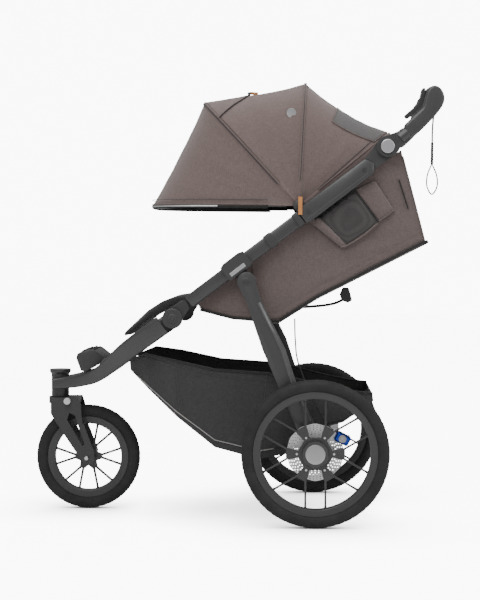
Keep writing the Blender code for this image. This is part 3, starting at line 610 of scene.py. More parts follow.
def studio():
    world = bpy.data.worlds.new("studio")
    world.use_nodes = True
    nodes, links = world.node_tree.nodes, world.node_tree.links
    background = nodes["Background"]
    background.inputs["Color"].default_value = (1.0, 1.0, 1.0, 1.0)
    path = nodes.new("ShaderNodeLightPath")
    level = nodes.new("ShaderNodeMapRange")
    level.inputs["To Min"].default_value = 0.42
    level.inputs["To Max"].default_value = 10.0
    links.new(path.outputs["Is Camera Ray"], level.inputs["Value"])
    links.new(level.outputs["Result"], background.inputs["Strength"])
    bpy.context.scene.world = world
    area_light("key", (0.9, 2.6, 3.2), (0.0, 0.0, 0.6), (2.2, 2.2), 70.0)
    area_light("overhead", (0.0, 0.3, 3.6), (0.0, 0.0, 0.5), (3.0, 2.4), 60.0)
    area_light("rim", (-2.4, 1.0, 1.8), (-0.1, 0.0, 0.7), (1.2, 2.0), 25.0)
    bm = bmesh.new()
    bmesh.ops.create_grid(bm, x_segments=2, y_segments=2, size=14.0)
    floor = bpy.data.objects.new("floor", mesh_from("floor", bm))
    floor.location.z = -0.0004
    paper = principled("floor_paper", (0.93, 0.93, 0.93), 0.7)
    g = Graph(paper)
    g.done(None, g.scaled(g.noise(3.0, 3.0), 0.62, 0.78), g.bump(g.noise(200.0, 2.0), 0.02, 0.001))
    # Camera-only glow of the floor, dimmed within 0.30 m of the stroller: a painted contact shadow.
    camera_only(paper, 9.0, 0.30)
    floor.data.materials.append(paper)
    bpy.context.scene.collection.objects.link(floor)


# Frame ------------------------------------------------------------------------
def sides(*stems):
    return [stem + "_" + side for stem in stems for side in SIDES]


def plain_parts():
    for node in sides("side_tube"):
        refine(node)
    for node in sides("upper_housing", "hinge_lug", "latch_bracket", "front_hinge"):
        refine(node, 0.0009)
    for node in sides("rear_leg"):
        refine(node, 0.0014)
    for node in sides("handle_hub", "hub_button"):
        refine(node, 0.0006)
    for node in ["head_tube", "footrest", "fork", "swivel_knob", "brake_lever",
                 "harness_buckle", "buckle_button", "recline_buckle"]:
        refine(node, 0.0005)
    for node in ["front_axle", "rear_axle_tube", *sides("rear_stub")]:
        refine(node)
    for node in ["canopy_bow_front", "canopy_bow_corner", "canopy_bow_mid"]:
        refine(node)


# Wheels -----------------------------------------------------------------------
def turn_2d(points, angle):
    c, s = math.cos(angle), math.sin(angle)
    return [(x * c - z * s, x * s + z * c) for x, z in points]


def tyre(node, hub, outer, inner, width, knobs):
    """A tyre with staggered tread knobs over its crown and shoulders."""
    middle, half = (outer + inner) / 2, (outer - inner) / 2
    steps, around = knobs * 6, 30
    rows = []
    for i in range(steps):
        a = 2 * math.pi * i / steps
        row = []
        for j in range(around):
            t = 2 * math.pi * j / around
            c, s = math.cos(t), math.sin(t)
            radius = middle + math.copysign(abs(c) ** 0.80, c) * half
            height = math.copysign(abs(s) ** 0.85, s) * width / 2
            lane = abs(math.degrees(t if t < math.pi else t - 2 * math.pi))
            phase = (i + (3 if lane > 22 else 0)) % 6
            cut = lane < 78 and (phase == 0 or 18 < lane < 26 or (lane > 50 and phase == 3))
            radius -= 0.0010 * cut * max(0.0, c)
            height -= math.copysign(0.0006 * cut * (lane > 40), height)
            row.append(Vector((hub.x + radius * math.cos(a), hub.y + height,
                               hub.z + radius * math.sin(a))))
        rows.append(row)
    rows.append(rows[0])
    bm = grid_bm(rows, closed=True)
    bmesh.ops.remove_doubles(bm, verts=bm.verts, dist=1e-6)
    obj = show(node + "_shown", mesh_from(node, bm, 32), "tyre_rubber", BODY_OF[node],
               "tyre_rubber")
    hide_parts(node)


def rim_ring(node, hub, outer, inner, width):
    half = width / 2
    lip, drop = 0.0016, 0.0045
    profile = [(inner, 0.45 * half), (inner + 0.0014, 0.85 * half), (inner + 0.006, half),
               (outer - 0.002, half), (outer + lip, half + 0.0008), (outer + lip, half - 0.003),
               (outer - drop, 0.5 * half), (outer - drop, -0.5 * half),
               (outer + lip, 0.003 - half), (outer + lip, -half - 0.0008), (outer - 0.002, -half),
               (inner + 0.006, -half), (inner + 0.0014, -0.85 * half), (inner, -0.45 * half)]
    obj = turned(node + "_shown", profile + profile[:1], hub, "wheel_black", BODY_OF[node],
                 "wheel_black", 120)
    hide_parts(node)


def spoke(name, hub, start, end, widths, depths, body):
    a, b = (Vector((hub.x + x, hub.y, hub.z + z)) for x, z in (start, end))
    points = [a.lerp(b, t) for t in (0.0, 0.12, 0.5, 0.88, 1.0)]
    bar(name, points, widths, depths, "wheel_black", body, "wheel_black", square=3.0, count=16,
        up=(0, 1, 0))


def rear_wheel(side, sign):
    hub = Vector((REAR_HUB.x, sign * REAR_HUB.y, REAR_HUB.z))
    rim, body = "rear_rim_" + side, BODY_OF["rear_rim_" + side]
    tyre("rear_tyre_" + side, hub, 0.2000, 0.1652, 0.0450, 54)
    rim_ring(rim, hub, 0.1660, 0.1480, 0.0300)
    outline = []
    for sector in range(6):
        turn = math.radians(60 * sector)
        for index, x in enumerate((-0.027, 0.027)):
            start, end = turn_2d([(x, 0.058), (x, 0.1505)], turn)
            spoke(f"{rim}_spoke_{sector}_{index}", hub, start, end,
                  (0.0078, 0.0058, 0.0052, 0.0058, 0.0086), (0.009, 0.009, 0.0085, 0.009, 0.011),
                  body)
        outline += turn_2d([(0.0310, 0.0740), (0.0235, 0.0720), (0.0195, 0.0600),
                            (0.0160, 0.0440), (-0.0160, 0.0440), (-0.0195, 0.0600),
                            (-0.0235, 0.0720), (-0.0310, 0.0740)], turn)
    plate(rim + "_star", [(hub.x + x, hub.z + z) for x, z in outline], hub.y, 0.0080,
          "wheel_black", body, "wheel_black", edge=0.0014)
    profile = [(0.0083, -0.0300), (0.0340, -0.0300), (0.0360, -0.0280), (0.0360, 0.0160),
               (0.0345, 0.0180), (0.0100, 0.0180)]
    turned(rim + "_barrel", profile, hub, "wheel_black", body, "wheel_black", 48, sign=sign)
    cap = [(0.0, 0.0188), (0.0200, 0.0186), (0.0288, 0.0178), (0.0308, 0.0164), (0.0308, 0.0140)]
    turned(rim + "_cap", cap, hub, "cap_silver", body, "wheel_black", 64, sign=sign)
    for index in range(6):
        x, z = turn_2d([(0.0, 0.0500)], math.radians(60 * index + 30))[0]
        bolt = [(0.0, 0.0058), (0.0030, 0.0056), (0.0036, 0.0046), (0.0036, 0.0030)]
        turned(f"{rim}_rivet_{index}", bolt, hub + Vector((x, 0, z)), "steel", body,
               "wheel_black", 16, sign=sign)
    rotor(side, sign, hub, body)


def rotor(side, sign, hub, body):
    """A disc with a wavy edge and five rings of drilled holes."""
    y = hub.y - sign * 0.0350
    edge = []
    for i in range(144):
        a = 2 * math.pi * i / 144
        r = 0.0772 + 0.0008 * math.cos(12 * a)
        edge.append((hub.x + r * math.cos(a), hub.z + r * math.sin(a)))
    holes = [ring((hub.x, hub.z), 0.0130, 20)]
    for lane, count in ((0.0730, 48), (0.0672, 44), (0.0614, 40), (0.0556, 36), (0.0498, 32)):
        for i in range(count):
            a = 2 * math.pi * (i + 0.5 * (lane > 0.06)) / count
            holes.append(ring((hub.x + lane * math.cos(a), hub.z + lane * math.sin(a)),
                              0.0014, 6))
    obj = plate("brake_rotor_" + side + "_shown", edge, y, 0.0020, "rotor_steel", body, "steel",
                holes)
    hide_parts("brake_rotor_" + side)


def front_wheel():
    hub = Vector(FRONT_HUB)
    body = BODY_OF["front_rim"]
    tyre("front_tyre", hub, 0.1500, 0.1142, 0.0450, 42)
    rim_ring("front_rim", hub, 0.1150, 0.0955, 0.0280)
    outline = []
    for point in range(6):
        turn = math.radians(60 * point)
        outline += turn_2d([(0.0240, -0.0125), (0.0390, -0.0070), (0.0390, 0.0070),
                            (0.0240, 0.0125)], turn)
        for lean in (-1, 1):
            start, end = turn_2d([(0.0355, lean * 0.0030), (0.0975, lean * 0.0245)], turn)
            spoke(f"front_spoke_{point}_{lean + 1}", hub, start, end,
                  (0.0078, 0.0068, 0.0064, 0.0068, 0.0090), (0.008, 0.008, 0.0075, 0.008, 0.010),
                  body)
    plate("front_star", [(hub.x + x, hub.z + z) for x, z in outline], 0.0, 0.0140, "wheel_black",
          body, "wheel_black", edge=0.0020)
    profile = [(0.0063, -0.0365), (0.0150, -0.0365), (0.0160, -0.0350), (0.0170, -0.0200),
               (0.0200, -0.0100), (0.0200, 0.0100), (0.0170, 0.0200), (0.0160, 0.0350),
               (0.0150, 0.0365), (0.0063, 0.0365)]
    turned("front_barrel", profile, hub, "wheel_black", body, "wheel_black", 40)


# Frame details ----------------------------------------------------------------
ARM_STATIONS = [
    ((0.1930, 0.2365, 0.5425), 0.0220, 0.0530), ((0.2328, 0.2300, 0.5135), 0.0225, 0.0525),
    ((0.2640, 0.2170, 0.4912), 0.0240, 0.0522), ((0.2952, 0.1950, 0.4680), 0.0260, 0.0510),
    ((0.3240, 0.1640, 0.4440), 0.0285, 0.0485), ((0.3517, 0.1320, 0.4209), 0.0290, 0.0445),
    ((0.3768, 0.1070, 0.4014), 0.0285, 0.0410), ((0.4048, 0.0820, 0.3855), 0.0270, 0.0380),
    ((0.4310, 0.0640, 0.3775), 0.0245, 0.0365), ((0.4572, 0.0520, 0.3713), 0.0225, 0.0350),
    ((0.4830, 0.0410, 0.3672), 0.0220, 0.0330), ((0.5080, 0.0372, 0.3642), 0.0218, 0.0315),
    ((0.5260, 0.0370, 0.3622), 0.0210, 0.0300)]


def front_arms():
    """Two arms that run together from the folding hinges to the head tube."""
    count = 61
    sizes = smooth_path([(width, depth, 0) for _, width, depth in ARM_STATIONS], count)
    for side, sign in SIDES.items():
        points = smooth_path([(x, sign * y, z) for (x, y, z), _, _ in ARM_STATIONS], count)
        obj = upright_bar("front_arm_" + side + "_shown", points, [s.x for s in sizes],
                          [s.y for s in sizes], "frame_satin", "front_frame", "frame_satin", 4.5)
        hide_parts("front_arm_" + side)


def hinge_heads():
    """Bolt heads on the folding hinges and at the tops of the rear legs."""
    head = [(0.0, 0.0026), (0.0034, 0.0026), (0.0040, 0.0018), (0.0088, 0.0018),
            (0.0103, 0.0008), (0.0105, -0.0004)]
    for side, sign in SIDES.items():
        place = Vector((REAR_HINGE.x, sign * 0.2733, REAR_HINGE.z))
        turned("leg_bolt_" + side, head, place, "moulded_black", "rear_frame", "moulded_black", 32,
               sign=sign)
        place = Vector((FRONT_HINGE.x, sign * 0.2499, FRONT_HINGE.z))
        turned("fold_bolt_" + side, [(r * 1.25, h) for r, h in head], place, "moulded_black",
               "front_frame", "moulded_black", 32, sign=sign)
        strip = [along_tube(0.137, -0.0155), along_tube(0.186, -0.0155),
                 along_tube(0.186, -0.0045), along_tube(0.137, -0.0045)]
        plate("latch_strip_" + side, flat(strip), sign * 0.2592, 0.0012, "satin_silver",
              "main_frame", "satin_silver", edge=0.0003)


def leg_strips():
    """A lighter bevelled strip down the rear edge of each rear leg, its lightness a painted highlight along the
    bevel.
    """
    front = [(-0.0660, 0.6040), (-0.1300, 0.4800), (-0.1580, 0.3930), (-0.2210, 0.2460)]
    rear = [(-0.0800, 0.6060), (-0.1440, 0.4790), (-0.1722, 0.3925), (-0.2440, 0.2260)]
    for side, sign in SIDES.items():
        rows = []
        for (ax, az), (bx, bz) in zip(front, rear):
            rows.append([(ax, sign * 0.2737, az), (bx + 0.0030, sign * 0.2737, bz),
                         (bx + 0.0010, sign * 0.2722, bz)])
        bm = grid_bm(rows)
        obj = show("leg_strip_" + side, mesh_from("leg_strip_" + side, bm), "leg_light",
                   "rear_frame", "frame_satin")
        thicken(obj, 0.0006)


def calipers():
    """Blue brake calipers with a round silver centre, a bolt and a cable stop."""
    for side, sign in SIDES.items():
        refine("brake_caliper_" + side, 0.0022)
        centre = Vector((-0.2995, sign * 0.2795, 0.2380))
        face = sign * 0.0165
        disc = [(0.0, 0.0022), (0.0055, 0.0022), (0.0062, 0.0030), (0.0098, 0.0030),
                (0.0108, 0.0022), (0.0108, -0.0004)]
        turned("caliper_disc_" + side, disc, centre + Vector((0, face, 0)), "cap_silver",
               "rear_frame", "blue_anodised", 36, sign=sign)
        for index, (x, z) in enumerate(((0.0165, -0.0090), (-0.0165, 0.0090))):
            bolt = [(0.0, 0.0015), (0.0022, 0.0015), (0.0026, 0.0006), (0.0026, -0.0004)]
            turned(f"caliper_bolt_{side}_{index}", bolt, centre + Vector((x, face, z)),
                   "cap_silver", "rear_frame", "steel", 16, sign=sign)


def rounded_plate(name, outline, y, width, mat, body, slot, edge=0.006):
    """A flat bar cut to a smooth closed outline (x, z), with its edges rounded over."""
    points = [Vector((x, 0, z)) for x, z in outline]
    for _ in range(3):
        pairs = list(zip(points, points[1:] + points[:1]))
        points = [p for a, b in pairs for p in (a.lerp(b, 0.25), a.lerp(b, 0.75))]
    normals = []
    for before, after in zip(points[-1:] + points[:-1], points[1:] + points[:1]):
        along = (after - before).normalized()
        normals.append(Vector((along.z, 0, -along.x)))
    turns = [math.pi / 2 * k / 5 for k in range(6)]
    steps = [(edge * (1 - math.sin(t)), width / 2 - edge * (1 - math.cos(t))) for t in turns]
    steps = [(inset, -rise) for inset, rise in steps] + list(reversed(steps))
    rows = [[p - n * inset + Vector((0, y + rise, 0)) for p, n in zip(points, normals)]
            for inset, rise in steps]
    return show(name, mesh_from(name, grid_bm(rows, True, True)), mat, body, slot)


BAR_SIDE = [
    (-0.4592, 1.0795), (-0.4834, 1.1023), (-0.5049, 1.1224), (-0.5142, 1.1310),
    (-0.5186, 1.1430), (-0.5225, 1.1620), (-0.5270, 1.1780), (-0.5345, 1.1880),
    (-0.5460, 1.1925), (-0.5595, 1.1885), (-0.5695, 1.1770), (-0.5746, 1.1611),
    (-0.5735, 1.1480), (-0.5668, 1.1320), (-0.5493, 1.1102), (-0.5379, 1.0981),
    (-0.5178, 1.0766), (-0.4863, 1.0484)]


def handle():
    """The bent bar with its hooked sides, and the stitched leather grip."""
    knots = [(-0.4560, BAR_Y, 1.0500), (-0.4727, BAR_Y, 1.0640), (-0.5006, BAR_Y, 1.0895),
             (-0.5260, BAR_Y, 1.1140), (-0.5420, 0.2390, 1.1400), (-0.5500, 0.2260, 1.1640),
             (-0.5520, 0.2050, 1.1760), (-0.5520, 0.1750, 1.1760), (-0.5520, 0.1400, 1.1760)]
    half = smooth_path(knots, 40)
    path = half + mirrored(half)
    obj = tube("handlebar_shown", path, 0.0165, "frame_satin", "handle", "frame_satin", 8)
    root = [(-0.4380, 1.0580), (-0.4620, 1.0810), (-0.4720, 1.0700), (-0.4800, 1.0600),
            (-0.4880, 1.0500), (-0.4600, 1.0250), (-0.4500, 1.0400)]
    for side, sign in SIDES.items():
        rounded_plate("bar_side_" + side, BAR_SIDE, sign * BAR_Y, 0.0334, "frame_satin",
                      "handle", "frame_satin", 0.0075)
        rounded_plate("bar_root_" + side, root, sign * 0.2424, 0.0130, "frame_satin",
                      "handle", "frame_satin", 0.0030)
    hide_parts("handlebar")
    profile = [(0.0168, -0.1500), (0.0225, -0.1500), (0.0240, -0.1480)]
    profile += [(0.0240 + 0.0004 * math.sin(i * 1.3), -0.1480 + 0.0074 * i) for i in range(1, 40)]
    profile += [(0.0240, 0.1480), (0.0225, 0.1500), (0.0168, 0.1500)]
    grip = turned("handle_grip_shown", profile, GRIP_CENTRE, "grip_leather", "handle",
                  "grip_leather", 40)
    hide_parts("handle_grip")
    for offset in (-0.0022, 0.0022):
        line = [GRIP_CENTRE + Vector((0.0243, y / 1000, offset)) for y in range(-144, 145, 4)]
        stitches(f"grip_seam_{offset > 0}", line, "dark_thread_and_groove_shade", "handle", "grip_leather", 0.007,
                 0.004, 0.0005)


def cable():
    """The brake cable from under the seat to the caliper, in a black sleeve."""
    knots = [(-0.1700, 0.2200, 0.5600), (-0.1720, 0.2300, 0.5000), (-0.1800, 0.2400, 0.4400),
             (-0.2150, 0.2410, 0.3500), (-0.2480, 0.2440, 0.2900), (-0.2700, 0.2560, 0.2620),
             (-0.2860, 0.2620, 0.2540)]
    path = smooth_path(knots, 60)
    obj = cord_mesh("brake_cable_shown", path, 0.0022, "soft_rubber", "moulded_black")
    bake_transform(obj)
    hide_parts("brake_cable")
    tube("cable_ferrule", path[-7:-3], 0.0036, "satin_silver", "rear_frame", "moulded_black", 4)
    tube("cable_sleeve", path[-4:], 0.0033, "soft_rubber", "rear_frame", "moulded_black", 4)


def wrist_strap():
    """The safety strap: a cord from the handlebar, its keeper and a loop for the wrist."""
    knots = [(-0.5516, 0.2080, 1.1525), (-0.5492, 0.2140, 1.1250), (-0.5455, 0.2195, 1.0950),
             (-0.5440, STRAP_Y, 1.0700), (-0.5436, STRAP_Y, 1.0405)]
    path = smooth_path(knots, 24)
    keeper = refine("strap_keeper", 0.0006)
    upper = tube("wrist_cord_shown", path, 0.0025, "webbing", "wrist_strap", "webbing", 4)
    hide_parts("wrist_cord")
    knots = [(-0.5446, 0.9785), (-0.5560, 0.9500), (-0.5570, 0.9200), (-0.5430, 0.8990),
             (-0.5300, 0.9200), (-0.5305, 0.9500), (-0.5412, 0.9785)]
    path = smooth_path([(x, STRAP_Y, z) for x, z in knots], 60)
    loop = tube("wrist_loop_shown", path, 0.0020, "webbing", "wrist_strap", "webbing", 4)
    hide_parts("wrist_loop")


# Canopy -----------------------------------------------------------------------
BOWS = {"front": (math.radians(0.5), 0.416, 0.225), "corner": (math.radians(47.6), 0.398, 0.225),
        "mid": (math.radians(93.0), 0.3485, 0.225), "rear": (math.radians(141.3), 0.330, 0.215)}
BOW_FOOT = 0.010
PANELS = {"canopy_front_panel": ("front", "corner", "canopy_front", "canopy_corner"),
          "canopy_top_panel": ("corner", "mid", "canopy_corner", "canopy_mid"),
          "canopy_rear_panel": ("mid", "rear", "canopy_mid", "main_frame")}


def bow_point(bow, t):
    """A bow's point, t running from 0 on the left over the top to pi."""
    angle, radius, half = BOWS[bow]
    side = math.copysign(abs(math.cos(t)) ** 0.5, math.cos(t)) * half
    reach = BOW_FOOT + (radius - BOW_FOOT) * max(0.0, math.sin(t)) ** 0.5
    return Vector((CANOPY_HUB.x + reach * math.cos(angle), side,
                   CANOPY_HUB.z + reach * math.sin(angle)))


def canopy_point(panel, u, t, out=0.0):
    """A point of a panel between its two bows, with its stretched sag and faint folds."""
    first, second = PANELS[panel][:2]
    sag = 0.055 if panel == "canopy_rear_panel" else 0.012
    mixed = bow_point(first, t).lerp(bow_point(second, t), u)
    away = mixed - Vector((CANOPY_HUB.x, 0.0, CANOPY_HUB.z))
    pull = 1 - sag * math.sin(math.pi * u)
    point = Vector((CANOPY_HUB.x + away.x * pull, mixed.y, CANOPY_HUB.z + away.z * pull))
    facing = Vector((away.x * 0.25, math.copysign(abs(mixed.y / 0.225) ** 6, mixed.y),
                     away.z * 0.25 + 0.02)).normalized()
    reach = math.hypot(away.x, away.z)
    angle = math.atan2(away.z, away.x)
    folds = noise.noise(Vector((angle * 4.0, reach * 6.0, mixed.y * 3.0)))
    folds += 0.5 * noise.noise(Vector((angle * 9.0, reach * 9.0, mixed.y * 2.0 + 7.0)))
    folds *= min(1.0, reach / 0.20)
    ease = math.sin(math.pi * u) ** 0.6 if 0 < u < 1 else 0.0
    tight = 0.0042 if panel == "canopy_rear_panel" else 0.0030
    return point + facing * (folds * tight * ease - 0.0040 * ease * abs(math.cos(t)) + out)


def bend_with(obj):
    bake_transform(obj)
    return obj


def canopy_panels():
    for panel in PANELS:
        rows = []
        for i in range(33):
            u = 0.003 + 0.994 * i / 32
            rows.append([canopy_point(panel, u, eased(j, 96)) for j in range(97)])
        bm = grid_bm(rows)
        obj = show(panel + "_shown", mesh_from(panel, bm, 60), "canopy", None, "canopy_fabric")
        face = obj.data.polygons[48 * 16 + 20]
        outward = face.normal.dot(Vector((face.center.x - CANOPY_HUB.x, face.center.y,
                                          face.center.z - CANOPY_HUB.z)))
        if outward < 0:
            obj.data.flip_normals()
        obj.data.materials.append(MAT["lining"])
        bend_with(obj)
        shell = thicken(obj, 0.0012).modifiers["Solidify"]
        shell.material_offset = 1
        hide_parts(panel)


def panel_line(name, panel, path, radius, mat, out=0.0012):
    """Piping or a seam over one panel, following its folded shape. path is of (u, t)."""
    points = [canopy_point(panel, u, t, out) for u, t in path]
    obj = cord_mesh(name, points, radius, mat, "canopy_fabric", 8)
    return bend_with(obj)


def bow_seam(name, bow, radius, mat, body, inside=0.0, out=0.0, start=2.0, stop=178.0):
    """Piping or a seam along a bow, a little to one side of it."""
    angle, _, half = BOWS[bow]
    shift = Vector((-math.sin(angle), 0, math.cos(angle))) * inside
    points = []
    for i in range(121):
        point = bow_point(bow, math.radians(start + (stop - start) * eased(i, 120) / math.pi))
        away = point - Vector((CANOPY_HUB.x, 0, CANOPY_HUB.z))
        facing = Vector((away.x, math.copysign(abs(point.y / half) ** 6, point.y) * 0.3, away.z))
        points.append(point + shift + facing.normalized() * out)
    return tube(name, points, radius, mat, body, "canopy_fabric", 3)


def canopy_seams():
    bow_seam("corner_seam", "corner", 0.0017, "canopy", "canopy_corner", out=0.0012)
    bow_seam("corner_edge", "corner", 0.0010, "dark_thread_and_groove_shade", "canopy_corner", -0.0040, 0.0010)
    bow_seam("corner_stitch", "corner", 0.0007, "thread", "canopy_corner", 0.0050, 0.0008)
    bow_seam("peak_seam", "mid", 0.0016, "canopy", "canopy_mid", 0.0022, 0.0012)
    bow_seam("peak_seam_rear", "mid", 0.0016, "canopy", "canopy_mid", -0.0030, 0.0012)
    # A dark line in the groove between the two peak seams: painted shade in the crease.
    bow_seam("peak_groove_shade", "mid", 0.0009, "dark_thread_and_groove_shade", "canopy_mid", -0.0004, 0.0014)
    bow_seam("brim_seam", "front", 0.0008, "dark_thread_and_groove_shade", "canopy_front", 0.0160, 0.0008)
    bow_seam("brim_hem", "front", 0.0019, "canopy", "canopy_front", 0.0030, 0.0006)
    bow_seam("brim_piping", "front", 0.0024, "reflective", "canopy_front", -0.0022, 0.0006,
             16.0, 164.0)
    for side, (start, stop) in {"left": (2.0, 16.0), "right": (164.0, 178.0)}.items():
        bow_seam("brim_dark_" + side, "front", 0.0024, "piping", "canopy_front", -0.0022, 0.0006,
                 start, stop)
    bow_seam("brim_under", "front", 0.0022, "piping", "canopy_front", -0.0060, -0.0010)


def canopy_flap():
    """The window flap behind the corner seam, with its edge binding and leather pull."""
    panel = "canopy_top_panel"
    path = []
    for i in range(91):
        t = 42 + 96 * i / 90
        rise = min(1.0, (t - 42) / 40, (138 - t) / 40)
        path.append((0.003 + 0.442 * math.sin(math.pi / 2 * rise), math.radians(t)))
    rows = [[canopy_point(panel, u * k / 10, t, 0.0022) for k in range(11)] for u, t in path]
    flap = show("window_flap", mesh_from("window_flap", grid_bm(rows), 60), "canopy", None,
                "canopy_fabric")
    bend_with(flap)
    thicken(flap, 0.0010, 0.0)
    panel_line("flap_binding", panel, path, 0.0016, "piping", 0.0030)
    low = path[36]
    start = canopy_point(panel, low[0], low[1], 0.0060)
    knob = rounded_box("zip_slider", start, (0.0090, 0.0060, 0.0070), "moulded_black", None,
                       "moulded_black", 0.0015)
    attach(knob, "canopy_mid")
    strap = [start + Vector((-0.0010 - 0.0040 * k, 0.0010, 0.0006 * math.sin(k))) for k in range(7)]
    ribbon("zip_pull", strap, 0.0080, 0.0022, (0, 0.3, 1), "orange_leather", "canopy_mid",
           "grip_leather")


def canopy_badge():
    """A plain round metal badge on the left side."""
    place = canopy_point("canopy_top_panel", 0.835, math.radians(34), 0.0012)
    profile = [(0.0, 0.0016), (0.0095, 0.0016), (0.0104, 0.0024), (0.0126, 0.0024),
               (0.0134, 0.0014), (0.0134, -0.0008)]
    turned("canopy_badge", profile, place, "cap_silver", "canopy_mid", "canopy_fabric", 48)


def canopy_vent():
    """A netted window over the rear panel, bound at its edges."""
    panel = "canopy_rear_panel"
    rows = []
    for i in range(25):
        u = 0.40 + 0.56 * i / 24
        rows.append([canopy_point(panel, u, math.radians(44 + 92 * j / 48), 0.0018)
                     for j in range(49)])
    obj = show("canopy_vent", mesh_from("canopy_vent", grid_bm(rows), 60), "vent", None,
               "canopy_fabric")
    bend_with(obj)
    thicken(obj, 0.0008, 0.0)
    corner = [(0.40, 44.0), (0.96, 44.0), (0.96, 136.0), (0.40, 136.0), (0.40, 44.0)]
    path = []
    for (ua, ta), (ub, tb) in zip(corner, corner[1:]):
        path += [(ua + (ub - ua) * k / 24, math.radians(ta + (tb - ta) * k / 24))
                 for k in range(24)]
    panel_line("vent_binding", panel, path + path[:1], 0.0016, "canopy", 0.0022)


def rear_hems():
    """The bound rear edge of the rear panel, and the seam along it."""
    for name, u, radius, mat, out in (("rear_hem", 0.985, 0.0022, "canopy", 0.0014),
                                      ("rear_hem_seam", 0.93, 0.0008, "dark_thread_and_groove_shade", 0.0012)):
        path = [(u, math.radians(2 + 176 * k / 90)) for k in range(91)]
        panel_line(name, "canopy_rear_panel", path, radius, mat, out)


def rear_band():
    """The band that carries the rear panel down behind the side tubes and onto the seat."""
    down = Vector((-math.sin(TUBE_ANGLE), 0, -math.cos(TUBE_ANGLE)))
    rows = []
    for k in range(5):
        row = []
        for j in range(97):
            point = bow_point("rear", eased(j, 96)) + down * (0.0300 * k / 4 - 0.0020)
            point.y *= 1 - 0.004 * k
            row.append(point)
        rows.append(row)
    obj = show("canopy_rear_band", mesh_from("canopy_rear_band", grid_bm(rows), 60), "canopy",
               "main_frame", "canopy_fabric")
    thicken(obj, 0.0014, 0.0)


def canopy_pulls():
    """Leather pull tabs that hang at the canopy's pivots."""
    for side, sign in SIDES.items():
        boss = [(0.0, 0.0050), (0.0120, 0.0046), (0.0150, 0.0030), (0.0158, 0.0), (0.0158, -0.0040)]
        place = Vector((CANOPY_HUB.x, sign * 0.2300, CANOPY_HUB.z))
        turned("pivot_boss_" + side, boss, place, "moulded_black", "main_frame", "moulded_black",
               32, sign=sign)
        points = [Vector((CANOPY_HUB.x - 0.0030, sign * (0.2500 + 0.0006 * math.sin(k)),
                          CANOPY_HUB.z + 0.0240 - 0.0070 * k)) for k in range(8)]
        ribbon("pivot_pull_" + side, points, 0.0110, 0.0022, (1, 0, 0), "orange_leather",
               "main_frame", "grip_leather")


# Seat -------------------------------------------------------------------------
BAG_TOPS = [along_tube(s) for s in (0.02, 0.15, 0.28, 0.42, 0.56)]
BAG_TOPS.append(Vector((-0.4600, 0.0, 1.0200)))
BAG_BOTTOMS = [Vector((x, 0.0, z)) for x, z in (
    (0.0892, 0.5848), (0.0, 0.5580), (-0.1250, 0.5460), (-0.2350, 0.6152), (-0.3800, 0.6886),
    (-0.5275, 0.7633))]


def along_list(points, u):
    """A point at u, 0 to 1, along a list of evenly weighted points."""
    position = min(max(u, 0.0), 1.0) * (len(points) - 1)
    k = min(int(position), len(points) - 2)
    return points[k].lerp(points[k + 1], position - k)


def bag_side_y(u, v):
    """How far out the bag's side stands at u, front to rear, and v, top to bottom."""
    edge = min(1.0, 8 * u, 8 * (1 - u)) * min(1.0, 5 * v, 7 * (1 - v))
    soft = noise.noise(Vector((u * 9.0, v * 1.6, 3.0))) * (1.0 - 0.5 * u)
    soft += 0.5 * noise.noise(Vector((u * 21.0, v * 2.8, 9.0)))
    angle = math.atan2(1.02 - v, 1.02 - u)
    away = math.hypot(1.02 - u, 1.02 - v)
    rays = math.sin(angle * 16.0) * math.exp(-((away - 0.35) / 0.28) ** 2)
    pull = math.exp(-((u - 0.30) / 0.03) ** 2) * 0.6
    return BAG_Y - 0.0040 + edge * (0.0030 * soft + 0.0016 * rays - 0.0020 * pull)


def bag_rows():
    """Rows across the bag from its left top edge, down, under and up the right side."""
    rows = []
    for i in range(73):
        u = i / 72
        top, bottom = along_list(BAG_TOPS, u), along_list(BAG_BOTTOMS, u)
        row = []
        for j in range(31):
            v = j / 30
            point = top.lerp(bottom, v)
            bend = max(0.0, (v - 0.93) / 0.07)
            point.y = bag_side_y(u, v) - 0.010 * bend * bend
            row.append(point)
        for k in range(1, 9):
            spread = 1 - k / 9
            low = bottom.copy()
            low.y = (BAG_Y - 0.014) * spread
            low.z -= 0.003 * math.sin(math.pi * spread) + 0.0015
            row.append(low)
        centre = bottom.copy()
        centre.z -= 0.0015
        row += [centre] + mirrored(row)
        rows.append(row)
    return rows


def seat_bag():
    rows = bag_rows()
    obj = lined_shell("seat_bag", rows, "seat", "seat_fabric")
    thicken(obj, 0.0016).modifiers["Solidify"].material_offset = 1
    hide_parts("seat_bag")
    return rows


def bag_trim(rows):
    for side, sign in SIDES.items():
        low = [Vector((row[29].x, sign * (row[28].y + 0.0006), row[29].z - 0.002)) for row in rows]
        rear = [Vector((rows[-1][j].x, sign * (rows[-1][j].y + 0.0004), rows[-1][j].z))
                for j in range(30, 1, -1)]
        tube("bag_piping_" + side, low, 0.0042, "piping", "main_frame", "seat_fabric", 4)
        tube("bag_rear_piping_" + side, rear, 0.0022, "seat", "main_frame", "seat_fabric", 3)
        stitch = [Vector((row[26].x, sign * (row[26].y + 0.0010), row[26].z)) for row in rows]
        stitches("bag_stitches_" + side, stitch, "thread", "main_frame", "seat_fabric", 0.007,
                 0.0038, 0.0005)
        tip = rows[-1][29]
        rounded_box("bag_tip_" + side, (tip.x - 0.002, sign * (tip.y + 0.0010), tip.z - 0.004),
                    (0.016, 0.006, 0.010), "piping", "main_frame", "seat_fabric", 0.002, 0.5)
        slit = [Vector((-0.4540 - 0.0250 * k / 12, sign * 0.2142, 0.9386 - 0.0790 * k / 12))
                for k in range(13)]
        ribbon("bag_slit_" + side, slit, 0.0034, 0.0022, (1, 0, 0.3), "piping", "main_frame",
               "seat_fabric")


